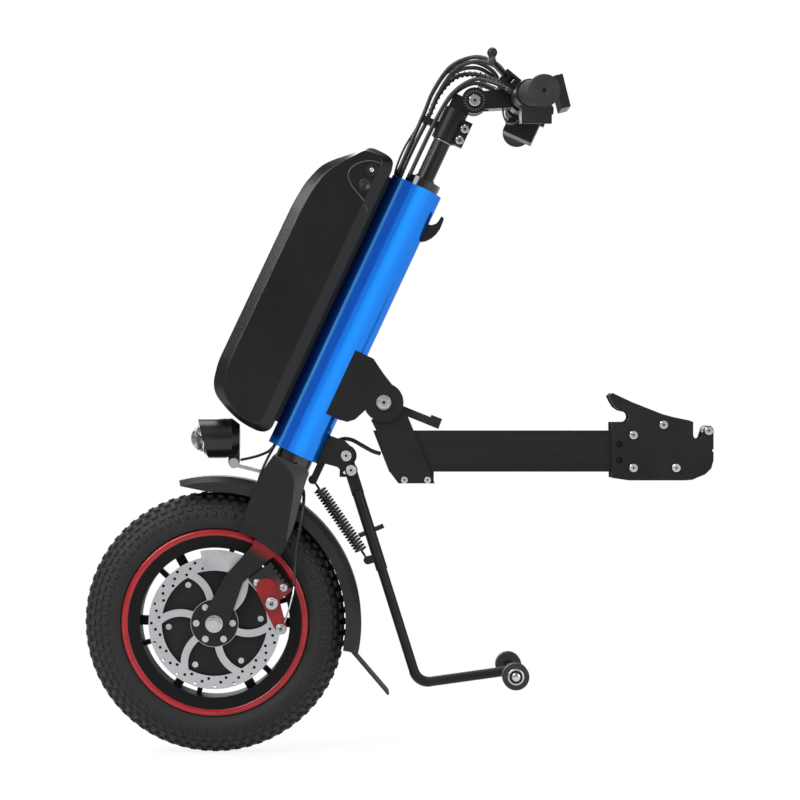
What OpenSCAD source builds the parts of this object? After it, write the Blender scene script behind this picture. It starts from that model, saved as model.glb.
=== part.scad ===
// Wheelchair power assist: a front drive unit that hooks onto a wheelchair and pulls it along.
// Frame: X towards the chair, Y to the rider's right, Z up. The origin is the axis of the
// cross bar that the docking hook takes. All sizes are in millimetres.

/* [Wheel] */
// Outside diameter of the tyre
tyre_d = 318; // [306:1:330]
// Width of the tyre
tyre_w = 57; // [54:1:60]
// Thickness of the tyre's casing
tyre_wall = 4; // [3:0.5:6]
// Outside diameter of the rim's edge
rim_d = 226; // [222:1:230]
// Diameter inside the rim's barrel
rim_inner_d = 182; // [180:1:188]
// Thickness of the rim's edge
rim_edge_t = 2.5; // [2:0.1:3]
// Outside diameter of the hub motor's drum
motor_d = 128; // [122:1:130]
// Width of the hub motor's drum
motor_w = 40; // [36:1:41]
// Pairs of spokes between drum and rim
spoke_pairs = 6; // [4:1:7]
// Outside diameter of the brake disc
disc_d = 160; // [157:1:162]
// Width of the brake disc's friction ring
disc_ring_w = 16; // [13:0.5:18]
// Thickness of the brake disc
disc_t = 2; // [1.6:0.1:2.4]
// Diameter of the wheel axle
axle_d = 12; // [10:0.5:13]

/* [Fork and steering] */
// Lean of the steering axis from upright, in degrees
head_lean = 25; // [22:0.5:28]
// Distance of the axle ahead of the steering axis
fork_offset = 3; // [0:0.5:8]
// Greatest width of a fork blade
blade_w = 60; // [54:1:66]
// Thickness of a fork leg
leg_t = 7; // [5:0.5:9]
// Height of the fork crown
crown_h = 29; // [26:1:36]
// Diameter of the steerer tube
steerer_d = 25.4; // [24:0.1:28]
// Diameter of the post above the headset
post_d = 22; // [20:0.5:23.5]
// Length of post that shows below the stem
post_show = 54; // [45:1:70]
// Air between the tyre and the mudguard's top
guard_gap = 16.5; // [12:0.5:22]
// Air between the tyre and each mudguard side
guard_side_gap = 4; // [3:0.5:6]

/* [Head tube] */
// Length of the head tube
tube_len = 358; // [340:1:380]
// Radius of the head tube's rounded back
tube_r = 28; // [27:0.5:31]
// Distance from the steering axis to the tube's front face
tube_front = 37; // [36:0.5:40]
// Height of the lower headset cup
lower_cup_h = 16; // [14:0.5:20]
// Height of the upper headset cup
upper_cup_h = 11; // [9:0.5:14]

/* [Battery] */
// Length of the battery
battery_len = 370; // [350:1:372]
// Depth of the battery from rail to front
battery_depth = 92; // [84:1:98]
// Width of the battery
battery_w = 90; // [82:1:96]
// Wall of the battery case
battery_wall = 3; // [2:0.5:4]

/* [Docking arm] */
// Distance from the fold pivot to the docking hook's bar
arm_reach = 292; // [280:1:320]
// Height of the fold pivot above the docking hook's bar
pivot_rise = 17.4; // [14:0.2:22]
// Height of the beam
beam_h = 50; // [46:1:52]
// Width of the beam
beam_w = 30; // [26:1:36]
// Wall of the beam
beam_wall = 3; // [2:0.5:4]
// Thickness of the arm, dock and pivot plates
plate_t = 5; // [4:0.5:6]
// Radius of the cross bar that the docking hook takes
hook_r = 6.4; // [5.8:0.1:6.8]
// Radius of the pin that the docking slot takes
slot_r = 5.5; // [4.8:0.1:6]
// Distance from hook to slot, along the dock
slot_run = 89.8; // [88:0.1:92]

/* [Handlebar] */
// Overall width of the handlebar
bar_w = 500; // [480:2:560]
// Diameter of the handlebar
bar_d = 22.2; // [21:0.1:23]
// Length of the adjustable stem's arm
stem_len = 58.8; // [55:0.2:75]
// Diameter of a grip
grip_d = 31; // [29:0.5:33]
// Reach of the brake levers from the bar
lever_reach = 70; // [62:1:78]

/* [Stand] */
// Length of the stand's leg from pivot to bend
stand_len = 292; // [280:1:300]
// Length of the stand's foot from bend to roller axle
foot_len = 116; // [105:1:125]
// Diameter of the stand's upper tube
stand_d = 14; // [13:0.5:15]
// Diameter of a stand roller
roller_d = 32; // [28:1:36]
// Distance between the two rollers, centre to centre
roller_track = 150; // [130:2:170]
// Curls in the stand's return spring
spring_curls = 22; // [18:1:24]
// Diameter of the spring's wire
spring_wire = 2.2; // [1.6:0.1:2.4]
// Outside diameter of the spring
spring_d = 15; // [13:0.5:16]

/* [Lights and controls] */
// Radius of the headlight's body
lamp_r = 24; // [22:0.5:25]
// Radius of the headlight's lens
lens_r = 17; // [14:0.5:18]
// Diameter of a cable's sleeve
cable_d = 5; // [4:0.2:5.4]

/* [Hidden] */
$fn = 64;
// Overrun of cuts past the faces they open
over = 1;
spring_sides = 6;
// Radial play of a turning fit
run_fit = 0.06;
// Gap between flat faces that slide past each other
face_gap = 0.3;
// Gap between pieces that are set into one another and don't move
seat_gap = 0.15;

// Heights along the steering axis, measured from the axle's level
tyre_r = tyre_d / 2;
rim_r = rim_d / 2;
guard_t = 2.5;
guard_pad_h = 4;
guard_r = tyre_r + guard_gap + guard_t;
crown_low = guard_r + guard_pad_h;
crown_top = crown_low + crown_h;
cup_air = 0.6;
tube_low = crown_top + lower_cup_h;
tube_top = tube_low + tube_len;
cup_top = tube_top + upper_cup_h;
clamp_low = cup_top + post_show;
clamp_h = 40;
clamp_top = clamp_low + clamp_h;
stem_rise = 19;
stem_back = 15;
stem_pivot_a = clamp_top + stem_rise;

// Place of the fold pivot on the head tube
pivot_up = 102;
pivot_out = 42;
pivot_a = tube_low + pivot_up;
pivot_p = tube_r + pivot_out;

// Turns a place in the steering frame (back p, up a) into the part's frame
function lean(p, a) = [
  p * cos(head_lean) + a * sin(head_lean), 0, a * cos(head_lean) - p * sin(head_lean)
];
pivot_at = [-arm_reach, 0, pivot_rise];
head_at = pivot_at - lean(pivot_p, pivot_a);
axle_at = head_at + lean(-fork_offset, 0);

// Steering frame: x back from the axis, y to the right, z up along the axis
module on_head() {
  translate(head_at) rotate([0, head_lean, 0]) children();
}
// Steering frame seen from the left side: x back, y up along the axis, z towards the viewer
module side_head() {
  on_head() rotate([90, 0, 0]) children();
}
// Upright frame seen from the left side at a given place: x back, y up, z towards the viewer
module side(at) {
  translate(at) rotate([90, 0, 0]) children();
}
// The same outline on both sides of the middle plane
module both_sides(inner, thick) {
  for (s = [-1, 1])
    translate([0, 0, s * (inner + thick / 2) - thick / 2]) linear_extrude(thick) children();
}
// A bolt along z with a head at each end: shank radius and half length, head radius and height
module through_bolt(shank_r, half_len, head_r, head_h) {
  cylinder(r = shank_r, h = 2 * half_len, center = true);
  for (s = [-1, 1])
    translate([0, 0, s * (half_len + head_h / 2)]) cylinder(r = head_r, h = head_h, center = true);
}

// Sweeps a tube of given radius and sides along points, each ring turned by its reference vector
function unit(v) = v / norm(v);
function along(path, i) = unit(path[min(i + 1, len(path) - 1)] - path[max(i - 1, 0)]);
function ring_at(c, t, ref, r, n) =
  let (u = unit(ref - (ref * t) * t), v = cross(t, u))
  [for (k = [0 : n - 1]) c + r * (cos(360 * k / n) * u + sin(360 * k / n) * v)];
module sweep(path, refs, r, n) {
  m = len(path);
  points = [for (i = [0 : m - 1]) each ring_at(path[i], along(path, i), refs[i], r, n)];
  sides = [
    for (i = [0 : m - 2], k = [0 : n - 1])
      let (a = i * n + k, b = i * n + (k + 1) % n)
      each [[a, a + n, b], [b, a + n, b + n]]
  ];
  first = [for (k = [1 : n - 2]) [0, k, k + 1]];
  last = [for (k = [1 : n - 2]) [(m - 1) * n, (m - 1) * n + k + 1, (m - 1) * n + k]];
  polyhedron(points = points, faces = concat(sides, first, last), convexity = 4);
}
// A smooth curve through hand-set points, with a few steps between each pair
cable_steps = 4;
function bend(p, i, t) =
  let (
    a = p[max(i - 1, 0)], b = p[i], c = p[i + 1], d = p[min(i + 2, len(p) - 1)],
    m = (c - a) / 2, n = (d - b) / 2
  )
  (2 * pow(t, 3) - 3 * pow(t, 2) + 1) * b + (pow(t, 3) - 2 * pow(t, 2) + t) * m
  + (3 * pow(t, 2) - 2 * pow(t, 3)) * c + (pow(t, 3) - pow(t, 2)) * n;
function smooth(p) = concat(
  [for (i = [0 : len(p) - 2], k = [0 : cable_steps - 1]) bend(p, i, k / cable_steps)], [p[len(p) - 1]]
);
module cable(route, ref, d) {
  path = smooth(route);
  sweep(path, [for (q = path) ref], d / 2, cable_sides);
}
cable_sides = 8;

// Wheel: half widths outwards from the middle plane
rim_inner_r = rim_inner_d / 2;
rim_seat_drop = 6.5;
rim_seat_r = rim_r - rim_seat_drop;
tyre_mid_r = tyre_r - tyre_w / 2;
tyre_half_at_rim = sqrt(pow(tyre_w / 2, 2) - pow(rim_r - tyre_mid_r, 2));
rim_half_w = tyre_half_at_rim + face_gap + rim_edge_t;
motor_r = motor_d / 2;
motor_wall = 5;
spoke_wide = 11;
spoke_narrow = 6;
spoke_t = 14;
spoke_root = 1.5;
web_t = 3;
web_inset = 1;
spoke_first = 119;
spoke_step = 18;
cover_t = 5;
carrier_h = 5;
carrier_r = 29;
right_boss_h = 8;
right_boss_r = 20;
cover_y = motor_w / 2;
carrier_y = cover_y + cover_t;
disc_y = carrier_y + carrier_h;
disc_r = disc_d / 2;
disc_hole_r = 1.8;
disc_hole_shares = [0.22, 0.5, 0.78];
disc_holes = 60;
disc_arms = 6;
disc_arm_w = 9;
disc_arm_r = 44;
disc_bore_r = 15;
rotor_bolt_circle_r = 22;
rotor_bolt_r = 2.5;
rotor_head_r = 4;
rotor_head_h = 2.6;
cover_screw_circle_r = motor_r - 8;
cover_screw_r = 2;
cover_screw_head_r = 3.6;
cover_screw_head_h = 1.6;
cover_screw_first = 5;
bolt_count = 6;
axle_r = axle_d / 2;

// Fork
guard_half_w = tyre_w / 2 + guard_side_gap + guard_t;
leg_gap = 2;
leg_in = guard_half_w + leg_gap;
leg_out = leg_in + leg_t;
// Outline of a blade, as shares of its width (back) and of the crown's height (up)
blade_shares = [
  [-0.40, 1], [-0.467, 0.88], [-0.45, 0.71], [-0.383, 0.58], [-0.36, 0.45],
  [0.583, 0.45], [0.60, 0.64], [0.55, 0.735], [0.45, 0.853], [0.367, 1]
];
blade_clear = 2;
blade_arc_r = rim_r + blade_clear;
// Outline of the arm below the blade, in shares of the blade's width and the arc's radius
arm_shares = [
  [-0.317, 0.05], [-0.25, 0.52], [-0.017, 0.91], [-0.017, 1.1],
  [0.55, 1.1], [0.55, 0.99], [0.40, 0.843], [0.125, 0.52], [0.217, 0.05]
];
dropout_r = 16;
crown_front_share = 0.40;
crown_back_share = 0.367;
crown_boss_share = 0.55;
crown_boss_r = 24.5;
nut_r = 9;
nut_h = 8;
washer_r = 10.5;
washer_t = 2;
axle_tail = 4;
axle_half = leg_out + washer_t + nut_h + axle_tail;

// Mudguard and flap
guard_start = -12;
guard_side_end = 91;
guard_nose_ease = 1;
guard_nose_end = 104;
guard_side_drop = 19;
guard_nose_drop = 7;
guard_chamfer = 7;
guard_pad_l = 22;
guard_pad_w = 34;
flap_t = 2.5;
flap_len = 78;
flap_lean = 49.5;
flap_tuck = 12;
flap_side = 1.6;

// Headset
cup_spigot = 9;
cup_wall = 4.4;
lower_cup_r = 22.5;
upper_cup_r = 22;
bearing_r = 16;
bearing_h = 8;
spigot_r = bearing_r + cup_wall;
steerer_r = steerer_d / 2;
post_r = post_d / 2;
steerer_over = 3;
post_stop = 3;

// Head tube section: the front narrows by a chamfer on each side
tube_face_half = 15;
tube_chamfer = 12;
tube_side_half = 26;
tube_tuck = 0.5;
tube_bore_r = bearing_r + face_gap;
channel_front_wall = 3;
channel_d = 13;
channel_half = 10;
board_play = 1;
board_len = 150;
board_up = 30;

// Rail and battery
rail_h = 3.7;
rail_half = 13;
rail_grip = 6;
rail_inset = 20;
rail_top_gap = 4;
rail_play = 0.4;
battery_air = 0.3;
battery_up = 6;
battery_low = tube_low + battery_up;
battery_back = tube_front + rail_h + battery_air;
// Side outline of the battery, as shares of its depth (forward) and length (up)
battery_shares = [
  [0, 0.016], [0.109, 0], [0.26, 0], [0.424, 0.005], [0.598, 0.019], [0.848, 0.049], [0.946, 0.084],
  [1, 0.154], [0.99, 0.72], [0.957, 0.803], [0.87, 0.873], [0.761, 0.908], [0.576, 0.951], [0.38, 1],
  [0.12, 1], [0, 0.986]
];
battery_front_bevel = 15;
battery_back_bevel = 12;
battery_bevel_in = 12;
// Outline of the lock block in the battery's top corner, in the same shares
lock_shares = [
  [-0.1, 0.811], [0, 0.811], [0.38, 0.857], [0.467, 0.876], [0.489, 0.903], [0.424, 0.932],
  [0.24, 0.965], [0, 0.99], [-0.1, 0.99]
];
key_share = [0.228, 0.93];
port_share = [0.228, 0.878];
key_r = 8;
key_depth = 14;
key_proud = 2;
key_slot_l = 9;
key_slot_w = 2;
port_r = 7.3;
port_proud = 1;
cells_gap = 0.3;
cells_top_share = 0.79;
cells_low_share = 0.06;
cells_front_share = 0.77;
cells_back_share = 0.2;

// Bag hook on the back of the tube: its outline in shares of its reach (out) and height (up)
hook_drop = 59;
hook_h = 38.7;
hook_out = 15;
hook_half = 7;
hook_shares = [
  [0, 0], [0.249, 0.057], [0.443, 0.12], [0.717, 0.267], [0.911, 0.442], [1, 0.632], [0.975, 0.837],
  [0.947, 0.951], [0.848, 0.995], [0.68, 1], [0.633, 0.95], [0.613, 0.824], [0.523, 0.727],
  [0.312, 0.641], [0.135, 0.604], [-0.2, 0.604], [-0.2, 0]
];

// Arm bracket, fold pivot and lever
beam_drop = 59.3;
plate_gap = 0.2;
plate_in = beam_w / 2 + plate_gap;
arm_plate_out = plate_in + plate_t;
pivot_plate_in = arm_plate_out + face_gap;
pivot_plate_out = pivot_plate_in + plate_t;
pivot_round_r = 24;
arm_round_r = 21;
pivot_bolt_r = 5;
pivot_head_r = 6.5;
pivot_head_h = 4;
pivot_washer_r = 9;
pivot_washer_t = 1.6;
// Arm plate outline below the pivot, in shares of the bracket's length and drop
bracket_l = 62;
bracket_drop = 98.4;
bracket_shares = [
  [-0.247, -0.217], [-0.148, -0.341], [0.108, -0.851], [0.287, -1], [1, -1], [0.918, -0.851],
  [0.405, -0.068]
];
clamp_bolt_shares = [[0.405, -0.956], [0.858, -0.956]];
clamp_bolt_r = 2.4;
clamp_head_r = 4;
clamp_head_h = 2;
web_gap = 0.2;
web_start_share = 0.30;
// Pivot plate outline, in shares of the pivot's distance and the base's height
pivot_base_h = 85;
pivot_base_low = 60;
pivot_shares = [
  [0, 1], [0.19, 1], [0.42, 0.93], [0.66, 0.86], [0.98, 0.78], [0.6, 0.28], [0.45, 0.10], [0.27, 0.02],
    [0, 0]
];
pivot_base_t = 4;
saddle = 16;
lever_hub_r = 10;
lever_len = 74;
lever_t = 10;
lever_half_w = 6;
lever_droop = 22;
lever_head_l = 14;
lever_head_t = 13;

// Dock plate outline, in shares of the dock's length and depth
dock_l = 109;
dock_drop = 77.4;
dock_lip = 29;
dock_left = 15.4;
dock_top_shares = [
  [-0.17, 0.876], [-0.125, 1], [0.089, 0.62], [0.313, 0.286], [0.426, 0.117], [0.549, -0.01], [0.73,
    -0.15]
];
dock_lip_shares = [[-0.046, 0.262], [-0.102, 0.41], [-0.136, 0.62]];
dock_right_shares = [[1, -0.20], [1, -0.683], [0.975, -0.81], [0.908, -0.904], [0.762, -0.99], [0.68, -1]];
dock_low_shares = [[0.055, -1], [-0.136, -0.96]];
dock_notch_r = 1.6;
dock_notch_share = 0.53;
slot_drop = 21.7;
prong_r = 6;
prong_share = [0.945, -0.217];
prong_at = [prong_share[0] * dock_l, prong_share[1] * dock_drop];
dock_slot_top_share = 0.22;
dock_bolt_shares = [[0.1055, -0.284], [0.442, -0.123], [0.1055, -0.801], [0.5826, -0.801]];
dock_bolt_places = [for (q = dock_bolt_shares) [q[0] * dock_l, q[1] * dock_drop]];
dock_bolt_r = 3;
dock_head_r = 5;
dock_head_h = 3;
dock_spacer_r = 5.6;
set_hole_shares = [[-0.051, -0.43], [-0.051, -0.683]];
set_hole_r = 4.2;
plug_shoulder = 4;
plug_tail = 110;
plug_end = 76;
plug_boss_r = 6.5;
plug_rise = 6;
beam_end = 3;
beam_end_slope_share = 0.39;

// Stand bracket and stand, in the steering frame and from the stand's pivot
stand_p = 55.9;
stand_up = 23.8;
stand_a = tube_low + stand_up;
stand_at = head_at + lean(stand_p, stand_a);
stand_lean = 17.5;
foot_rise = 7.9;
stand_bend_r = 18;
stand_low_d = 12;
bend_swell = 0.6;
bend_tuck = 3;
stand_sleeve_share = 0.5;
tongue_half = 4;
tongue_round_r = 13;
tongue_len = 50;
tongue_w = 15;
stop_r = 18.7;
stop_angle = -71;
stop_bolt_r = 4;
stand_bolt_r = 4;
stand_head_r = 6.5;
stand_head_h = 4;
stand_swing = 20;
slot_play = 0.15;
slot_ease = 0.1;
slot_steps = 8;
slot_end = 1.5;
cheek_t = 4;
cheek_base_t = 4;
cheek_round_r = 11;
cheek_shares = [[-1, 0.58], [-0.3, 0.66], [0.1, 0.5], [0.32, 0], [0.2, -0.85], [-0.15, -0.72], [-1, -0.9]];
cheek_l = 27.9;
tab_r = 5.5;
tab_p = 31.5;
tab_drop = 20;
peg_r = 3;
peg_along = 97;
peg_left = 14.5;
peg_right = 18;
peg_rise = 22;
lug_along = 130;
lug_out = 13;
lug_r = 5;
eye_pin_r = 2.2;
eye_air = 0.5;
eye_plate_in = spring_wire / 2 + eye_air;
eye_plate_t = 3;
eye_head_r = 3.8;
eye_head_t = 1.5;
roller_w = 18;
roller_axle_r = 4;
roller_cap_r = 6.5;
roller_cap_h = 2;
stand_dir = [sin(stand_lean), 0, -cos(stand_lean)];
stand_out = [cos(stand_lean), 0, sin(stand_lean)];
foot_dir = [cos(foot_rise), 0, sin(foot_rise)];
corner_at = stand_at + stand_len * stand_dir;
roller_at = corner_at + foot_len * foot_dir;
turn = 90 - stand_lean + foot_rise;
turn_run = stand_bend_r * tan(turn / 2);

// Spring between the bracket's tab and the stand's lug
spring_top = head_at + lean(tab_p, tube_low - tab_drop);
spring_end = stand_at + lug_along * stand_dir - lug_out * stand_out;
spring_axis = unit(spring_end - spring_top);
spring_side = cross([0, 1, 0], spring_axis);
spring_r = (spring_d - spring_wire) / 2;
spring_lead = 14;
eye_r = 4;
curl_points = 8;
eye_points = 9;
coil_len = norm(spring_end - spring_top) - 2 * spring_lead;
function coil_at(i) =
  let (w = 360 * i / curl_points)
  spring_top + spring_axis * (spring_lead + coil_len * i / (curl_points * spring_curls))
  + spring_r * (cos(w) * [0, 1, 0] + sin(w) * spring_side);
function coil_ref(i) =
  let (w = 360 * i / curl_points)
  cos(w) * [0, 1, 0] + sin(w) * spring_side;
function eye_at(c, w) = c + eye_r * (cos(w) * spring_axis + sin(w) * spring_side);
eye_first = -250;
top_eye = [for (k = [0 : eye_points - 1]) eye_at(spring_top, eye_first * (1 - k / (eye_points - 1)))];
end_eye = [for (k = [0 : eye_points - 1]) eye_at(spring_end, 180 + (-eye_first) * k / (eye_points - 1))];
coil = [for (i = [0 : curl_points * spring_curls]) coil_at(i)];
spring_path = concat(top_eye, coil, end_eye);
spring_refs = concat(
  [for (q = top_eye) [0, 1, 0]],
  [for (i = [0 : curl_points * spring_curls]) coil_ref(i)],
  [for (q = end_eye) [0, 1, 0]]
);
spring_gap = min([
  for (i = [0 : len(coil) - curl_points - 1], k = [curl_points - 1 : curl_points])
    norm(coil[i + k] - coil[i]) - spring_wire
]);
echo(least_gap_between_spring_curls = spring_gap);

// Headlight: places from its tilt bolt
lamp_p = -64.3;
lamp_a_share = 0.875;
lamp_at = head_at + lean(lamp_p, crown_top * lamp_a_share);
lamp_up = 30.6;
lamp_back = 7;
lamp_front = 31;
lamp_rear_r = 17;
lamp_rear_run = 9;
bezel_l = 4.5;
visor_l = 13;
visor_t = 2;
visor_proud = 0.6;
visor_out = lamp_r + visor_proud;
visor_rake = atan(visor_l / (2 * visor_out));
lens_seat = 4;
lamp_wall = 2.5;
lug_w = 14;
lamp_lug_half = 4;
lamp_cheek_t = 3;
lamp_cheek_r = 6.3;
lamp_bolt_r = 3;
lamp_head_r = 6;
lamp_head_h = 3;
strip_t = 4;
strip_droop = 14;
strip_l = 39.2;
strip_start = 18;
foot_plate_t = 3;
foot_plate_h = 11;
foot_plate_half = 12;
foot_plate_up = 1;

// Caliper: polar places about the axle
caliper_angle = 38;
caliper_in_r = 66;
caliper_out_r = 100;
caliper_bridge_r = 82;
caliper_low = -26;
caliper_high = 17;
caliper_inner_half = 17;
caliper_inner_t = 5;
caliper_depth = 17;
caliper_air = 1.2;
ear_t = 3.2;
ear_end = 30;
adapter_from = 62.6;
adapter_to = 101;
adapter_t = 3;
adapter_edge = 2;
arm_pivot_share = [0.7, 0.257];
arm_top_share = [0.63, 0.44];
arm_end_share = [0.81, -0.05];
arm_pivot = caliper_out_r * arm_pivot_share;
arm_top = caliper_out_r * arm_top_share;
arm_end = caliper_out_r * arm_end_share;
arm_t = 4;
arm_r = 12;
arm_end_r = 7;
arm_bolt_r = 3;
arm_boss_r = 7;
arm_boss_h = 4;
fin_count = 5;
fin_w = 2;
fin_pitch = 5;
fin_depth = 3;
stator_r_gap = 6;
stator_half_gap = 3;
stator_slots = 18;
stator_slot_w = 6;
stator_slot_d = 14;

// Stem and handlebar
clamp_r = 15;
clamp_lug_half = 9;
clamp_lug_out = 25;
clamp_lug_h = 32;
clamp_slot = 2;
clamp_bolt_p = 19;
clamp_bolt_ups = [8, 23];
stem_bolt_r = 3;
stem_head_r = 5;
stem_head_h = 3;
neck_half = 10;
stem_round_r = 16;
head_round_r = 15.5;
cheek_out = 17;
stem_pivot_r = 5;
stem_pivot_head_r = 7;
stem_arm_h = 22;
bar_clamp_r = 18;
bar_clamp_half = 21;
bar_mid_r = 12.7;
stem_slope = 3;
clip_up = 10;
clip_h = 8;
clip_reach = 17;
clip_half = 9;
stem_at = head_at + lean(stem_back, stem_pivot_a);
bar_at = stem_at + stem_len * [cos(stem_slope), 0, sin(stem_slope)];
bar_r = bar_d / 2;
kink_y = 60;
kink_tuck = 6;
bar_sweep = 2.7;
bar_drop = 5.1;
bar_run = (bar_w / 2 - kink_y) / (cos(bar_sweep) * cos(bar_drop));
grip_flange_r = 18.6;
grip_flange_t = 4;
grip_cap = 3;
grip_hole_r = 2.5;
perch_start = 6;
perch_w = 15;
perch_r = 16.5;
// Direction of the brake levers, in degrees above straight ahead
lever_up = 39;
lever_pivot_out = 30;
lever_pin_r = 3;
lever_root_r = 7;
lever_half_t = 4;
fork_half = 8;
lever_pivot_run = 14;
lever_blade_r = 4;
lever_bend_run = 40;
lever_tip_r = 6;
lever_run = 140;
lever_bend_share = 0.72;
box_start = 27;
box_w = 26;
box_r = 17;
switch_drop = 36;
switch_front = 10;
switch_back = 26;
control_drop = 33;
control_front = 6;
control_back = 32;
control_lap = 3;
control_inset = 1;
control_turn = 25;
button_r = 5;
button_h = 6;
button_proud = 3;
button_down = 20;
button_travel = 2.5;
throttle_gap = 0.6;
throttle_t = 7;
grip_gap = 2.37;
grip_start = box_start + box_w + throttle_gap + throttle_t + grip_gap;
grip_len = bar_run - grip_start;
throttle_r = 16;
throttle_arm = 36;
throttle_arm_w = 12;
throttle_angle = 20;
display_h = 40;
display_w = 62;
display_t = 11;
display_tilt = 14;
display_back = 46.3;
display_side = 42;
display_ring_w = 10;
display_ring_r = 16;
display_ring_at = 47;
display_arm_h = 9;

// Bar frame on one side: z outwards along the bar, x back, y down
module on_bar(s) {
  translate(bar_at) mirror([0, s < 0 ? 1 : 0, 0]) translate([0, kink_y, 0]) rotate([-90, 0, 0])
    rotate([-bar_drop, bar_sweep, 0]) children();
}
// The same frame turned so that x points from the bar to its brake lever
module on_lever(s) {
  on_bar(s) rotate([0, 0, 180 + lever_up]) children();
}

module dock_outline() {
  difference() {
    union() {
      polygon(concat(
        [for (q = dock_top_shares) [q[0] * dock_l, q[1] * dock_lip]],
        [[slot_run - slot_r, -dock_slot_top_share * dock_lip], [slot_run - slot_r, -slot_drop],
         [slot_run + slot_r, -slot_drop]],
        [[prong_at[0] - prong_r, prong_at[1]], [dock_l, prong_at[1]]],
        [for (q = dock_right_shares) [q[0] * dock_l, q[1] * dock_drop]],
        [for (q = dock_low_shares) [q[0] * dock_l, q[1] * dock_drop]],
        [[-dock_left, -hook_r], [0, -hook_r], [0, hook_r]],
        [for (q = dock_lip_shares) [q[0] * dock_l, q[1] * dock_lip]]
      ));
      translate(prong_at) circle(r = prong_r);
    }
    circle(r = hook_r);
    translate([slot_run, -slot_drop]) circle(r = slot_r);
    translate([dock_l, -dock_notch_share * dock_drop]) circle(r = dock_notch_r);
    for (b = dock_bolt_places) translate(b) circle(r = dock_bolt_r + seat_gap);
    translate(prong_at) circle(r = dock_bolt_r + seat_gap);
    for (q = set_hole_shares) translate([q[0] * dock_l, q[1] * dock_drop]) circle(r = set_hole_r);
  }
}
beam_z = pivot_rise - beam_drop;
module dock_plates() {
  color("#232427") side([0, 0, 0]) both_sides(plate_in, plate_t) dock_outline();
}
module dock_plug() {
  color("#3a3b3e") side([0, 0, 0]) difference() {
    union() {
      linear_extrude(2 * plate_in, center = true) union() {
        translate([plug_shoulder, beam_z - beam_h / 2])
          square([plug_end - plug_shoulder, beam_h + plug_rise]);
        translate(dock_bolt_places[1]) circle(r = plug_boss_r);
      }
      translate([plug_shoulder - plug_tail, beam_z - beam_h / 2 + beam_wall + face_gap,
            -beam_w / 2 + beam_wall + face_gap])
        cube([plug_tail + over, beam_h - 2 * (beam_wall + face_gap),
          beam_w - 2 * (beam_wall + face_gap)]);
    }
    for (b = dock_bolt_places)
      translate(b) cylinder(r = dock_bolt_r + seat_gap, h = 3 * plate_in, center = true);
  }
}
module dock_bolts() {
  color("silver") side([0, 0, 0]) {
    for (b = dock_bolt_places)
      translate(b) through_bolt(dock_bolt_r, plate_in + plate_t, dock_head_r, dock_head_h);
    translate(prong_at) {
      through_bolt(dock_bolt_r, plate_in + plate_t, dock_head_r, dock_head_h);
      cylinder(r = dock_spacer_r, h = 2 * plate_in, center = true);
    }
  }
}
module beam() {
  color("#222326") side([0, 0, 0]) difference() {
    translate([0, 0, -beam_w / 2]) linear_extrude(beam_w) polygon([
      [beam_left, beam_z + beam_h / 2], [beam_end, beam_z + beam_h / 2], [beam_end,
        beam_z - beam_h / 2],
      [beam_left + beam_end_slope_share * beam_h, beam_z - beam_h / 2]
    ]);
    translate([plug_shoulder - plug_tail - plug_room, beam_z - beam_h / 2 + beam_wall,
      -beam_w / 2 + beam_wall])
      cube([plug_tail + plug_room + over, beam_h - 2 * beam_wall, beam_w - 2 * beam_wall]);
    for (b = clamp_bolt_shares) translate([
      pivot_at[0] + b[0] * bracket_l, pivot_at[2] + b[1] * bracket_drop, 0
    ]) cylinder(r = clamp_bolt_r + seat_gap, h = 2 * beam_w, center = true);
  }
}
plug_room = 30;
beam_back = 12.8;
beam_left = -arm_reach - beam_back;
module arm_bracket() {
  color("#26272a") side(pivot_at) difference() {
    union() {
      both_sides(plate_in, plate_t) union() {
        circle(r = arm_round_r);
        polygon([for (q = bracket_shares) [q[0] * bracket_l, q[1] * bracket_drop]]);
      }
      translate([web_start_share * bracket_l, -bracket_drop, -plate_in])
        cube([(1 - web_start_share) * bracket_l - over,
           bracket_drop - beam_drop - beam_h / 2 - web_gap, 2 * plate_in]);
    }
    cylinder(r = pivot_bolt_r + seat_gap, h = 4 * arm_plate_out, center = true);
    for (b = clamp_bolt_shares)
      translate([b[0] * bracket_l, b[1] * bracket_drop, 0])
        cylinder(r = clamp_bolt_r + seat_gap, h = 4 * arm_plate_out, center = true);
  }
}
module arm_bolts() {
  color("silver") side(pivot_at) {
    through_bolt(pivot_bolt_r, pivot_plate_out + face_gap, pivot_washer_r, pivot_washer_t);
    through_bolt(pivot_bolt_r, pivot_plate_out + face_gap + pivot_washer_t, pivot_head_r, pivot_head_h);
    for (b = clamp_bolt_shares)
      translate([b[0] * bracket_l, b[1] * bracket_drop, 0])
        through_bolt(clamp_bolt_r, arm_plate_out, clamp_head_r, clamp_head_h);
  }
}
module lock_lever() {
  color("#1e1f21") side(pivot_at) rotate(-lever_droop) difference() {
    union() {
      cylinder(r = lever_hub_r, h = 2 * (plate_in - face_gap), center = true);
      translate([0, -lever_t / 2, -lever_half_w]) cube([lever_len, lever_t, 2 * lever_half_w]);
      translate([lever_len - lever_head_l, -lever_t / 2, -lever_half_w - over])
        cube([lever_head_l, lever_head_t, 2 * (lever_half_w + over)]);
    }
    cylinder(r = pivot_bolt_r + run_fit, h = 4 * plate_in, center = true);
  }
}

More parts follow.
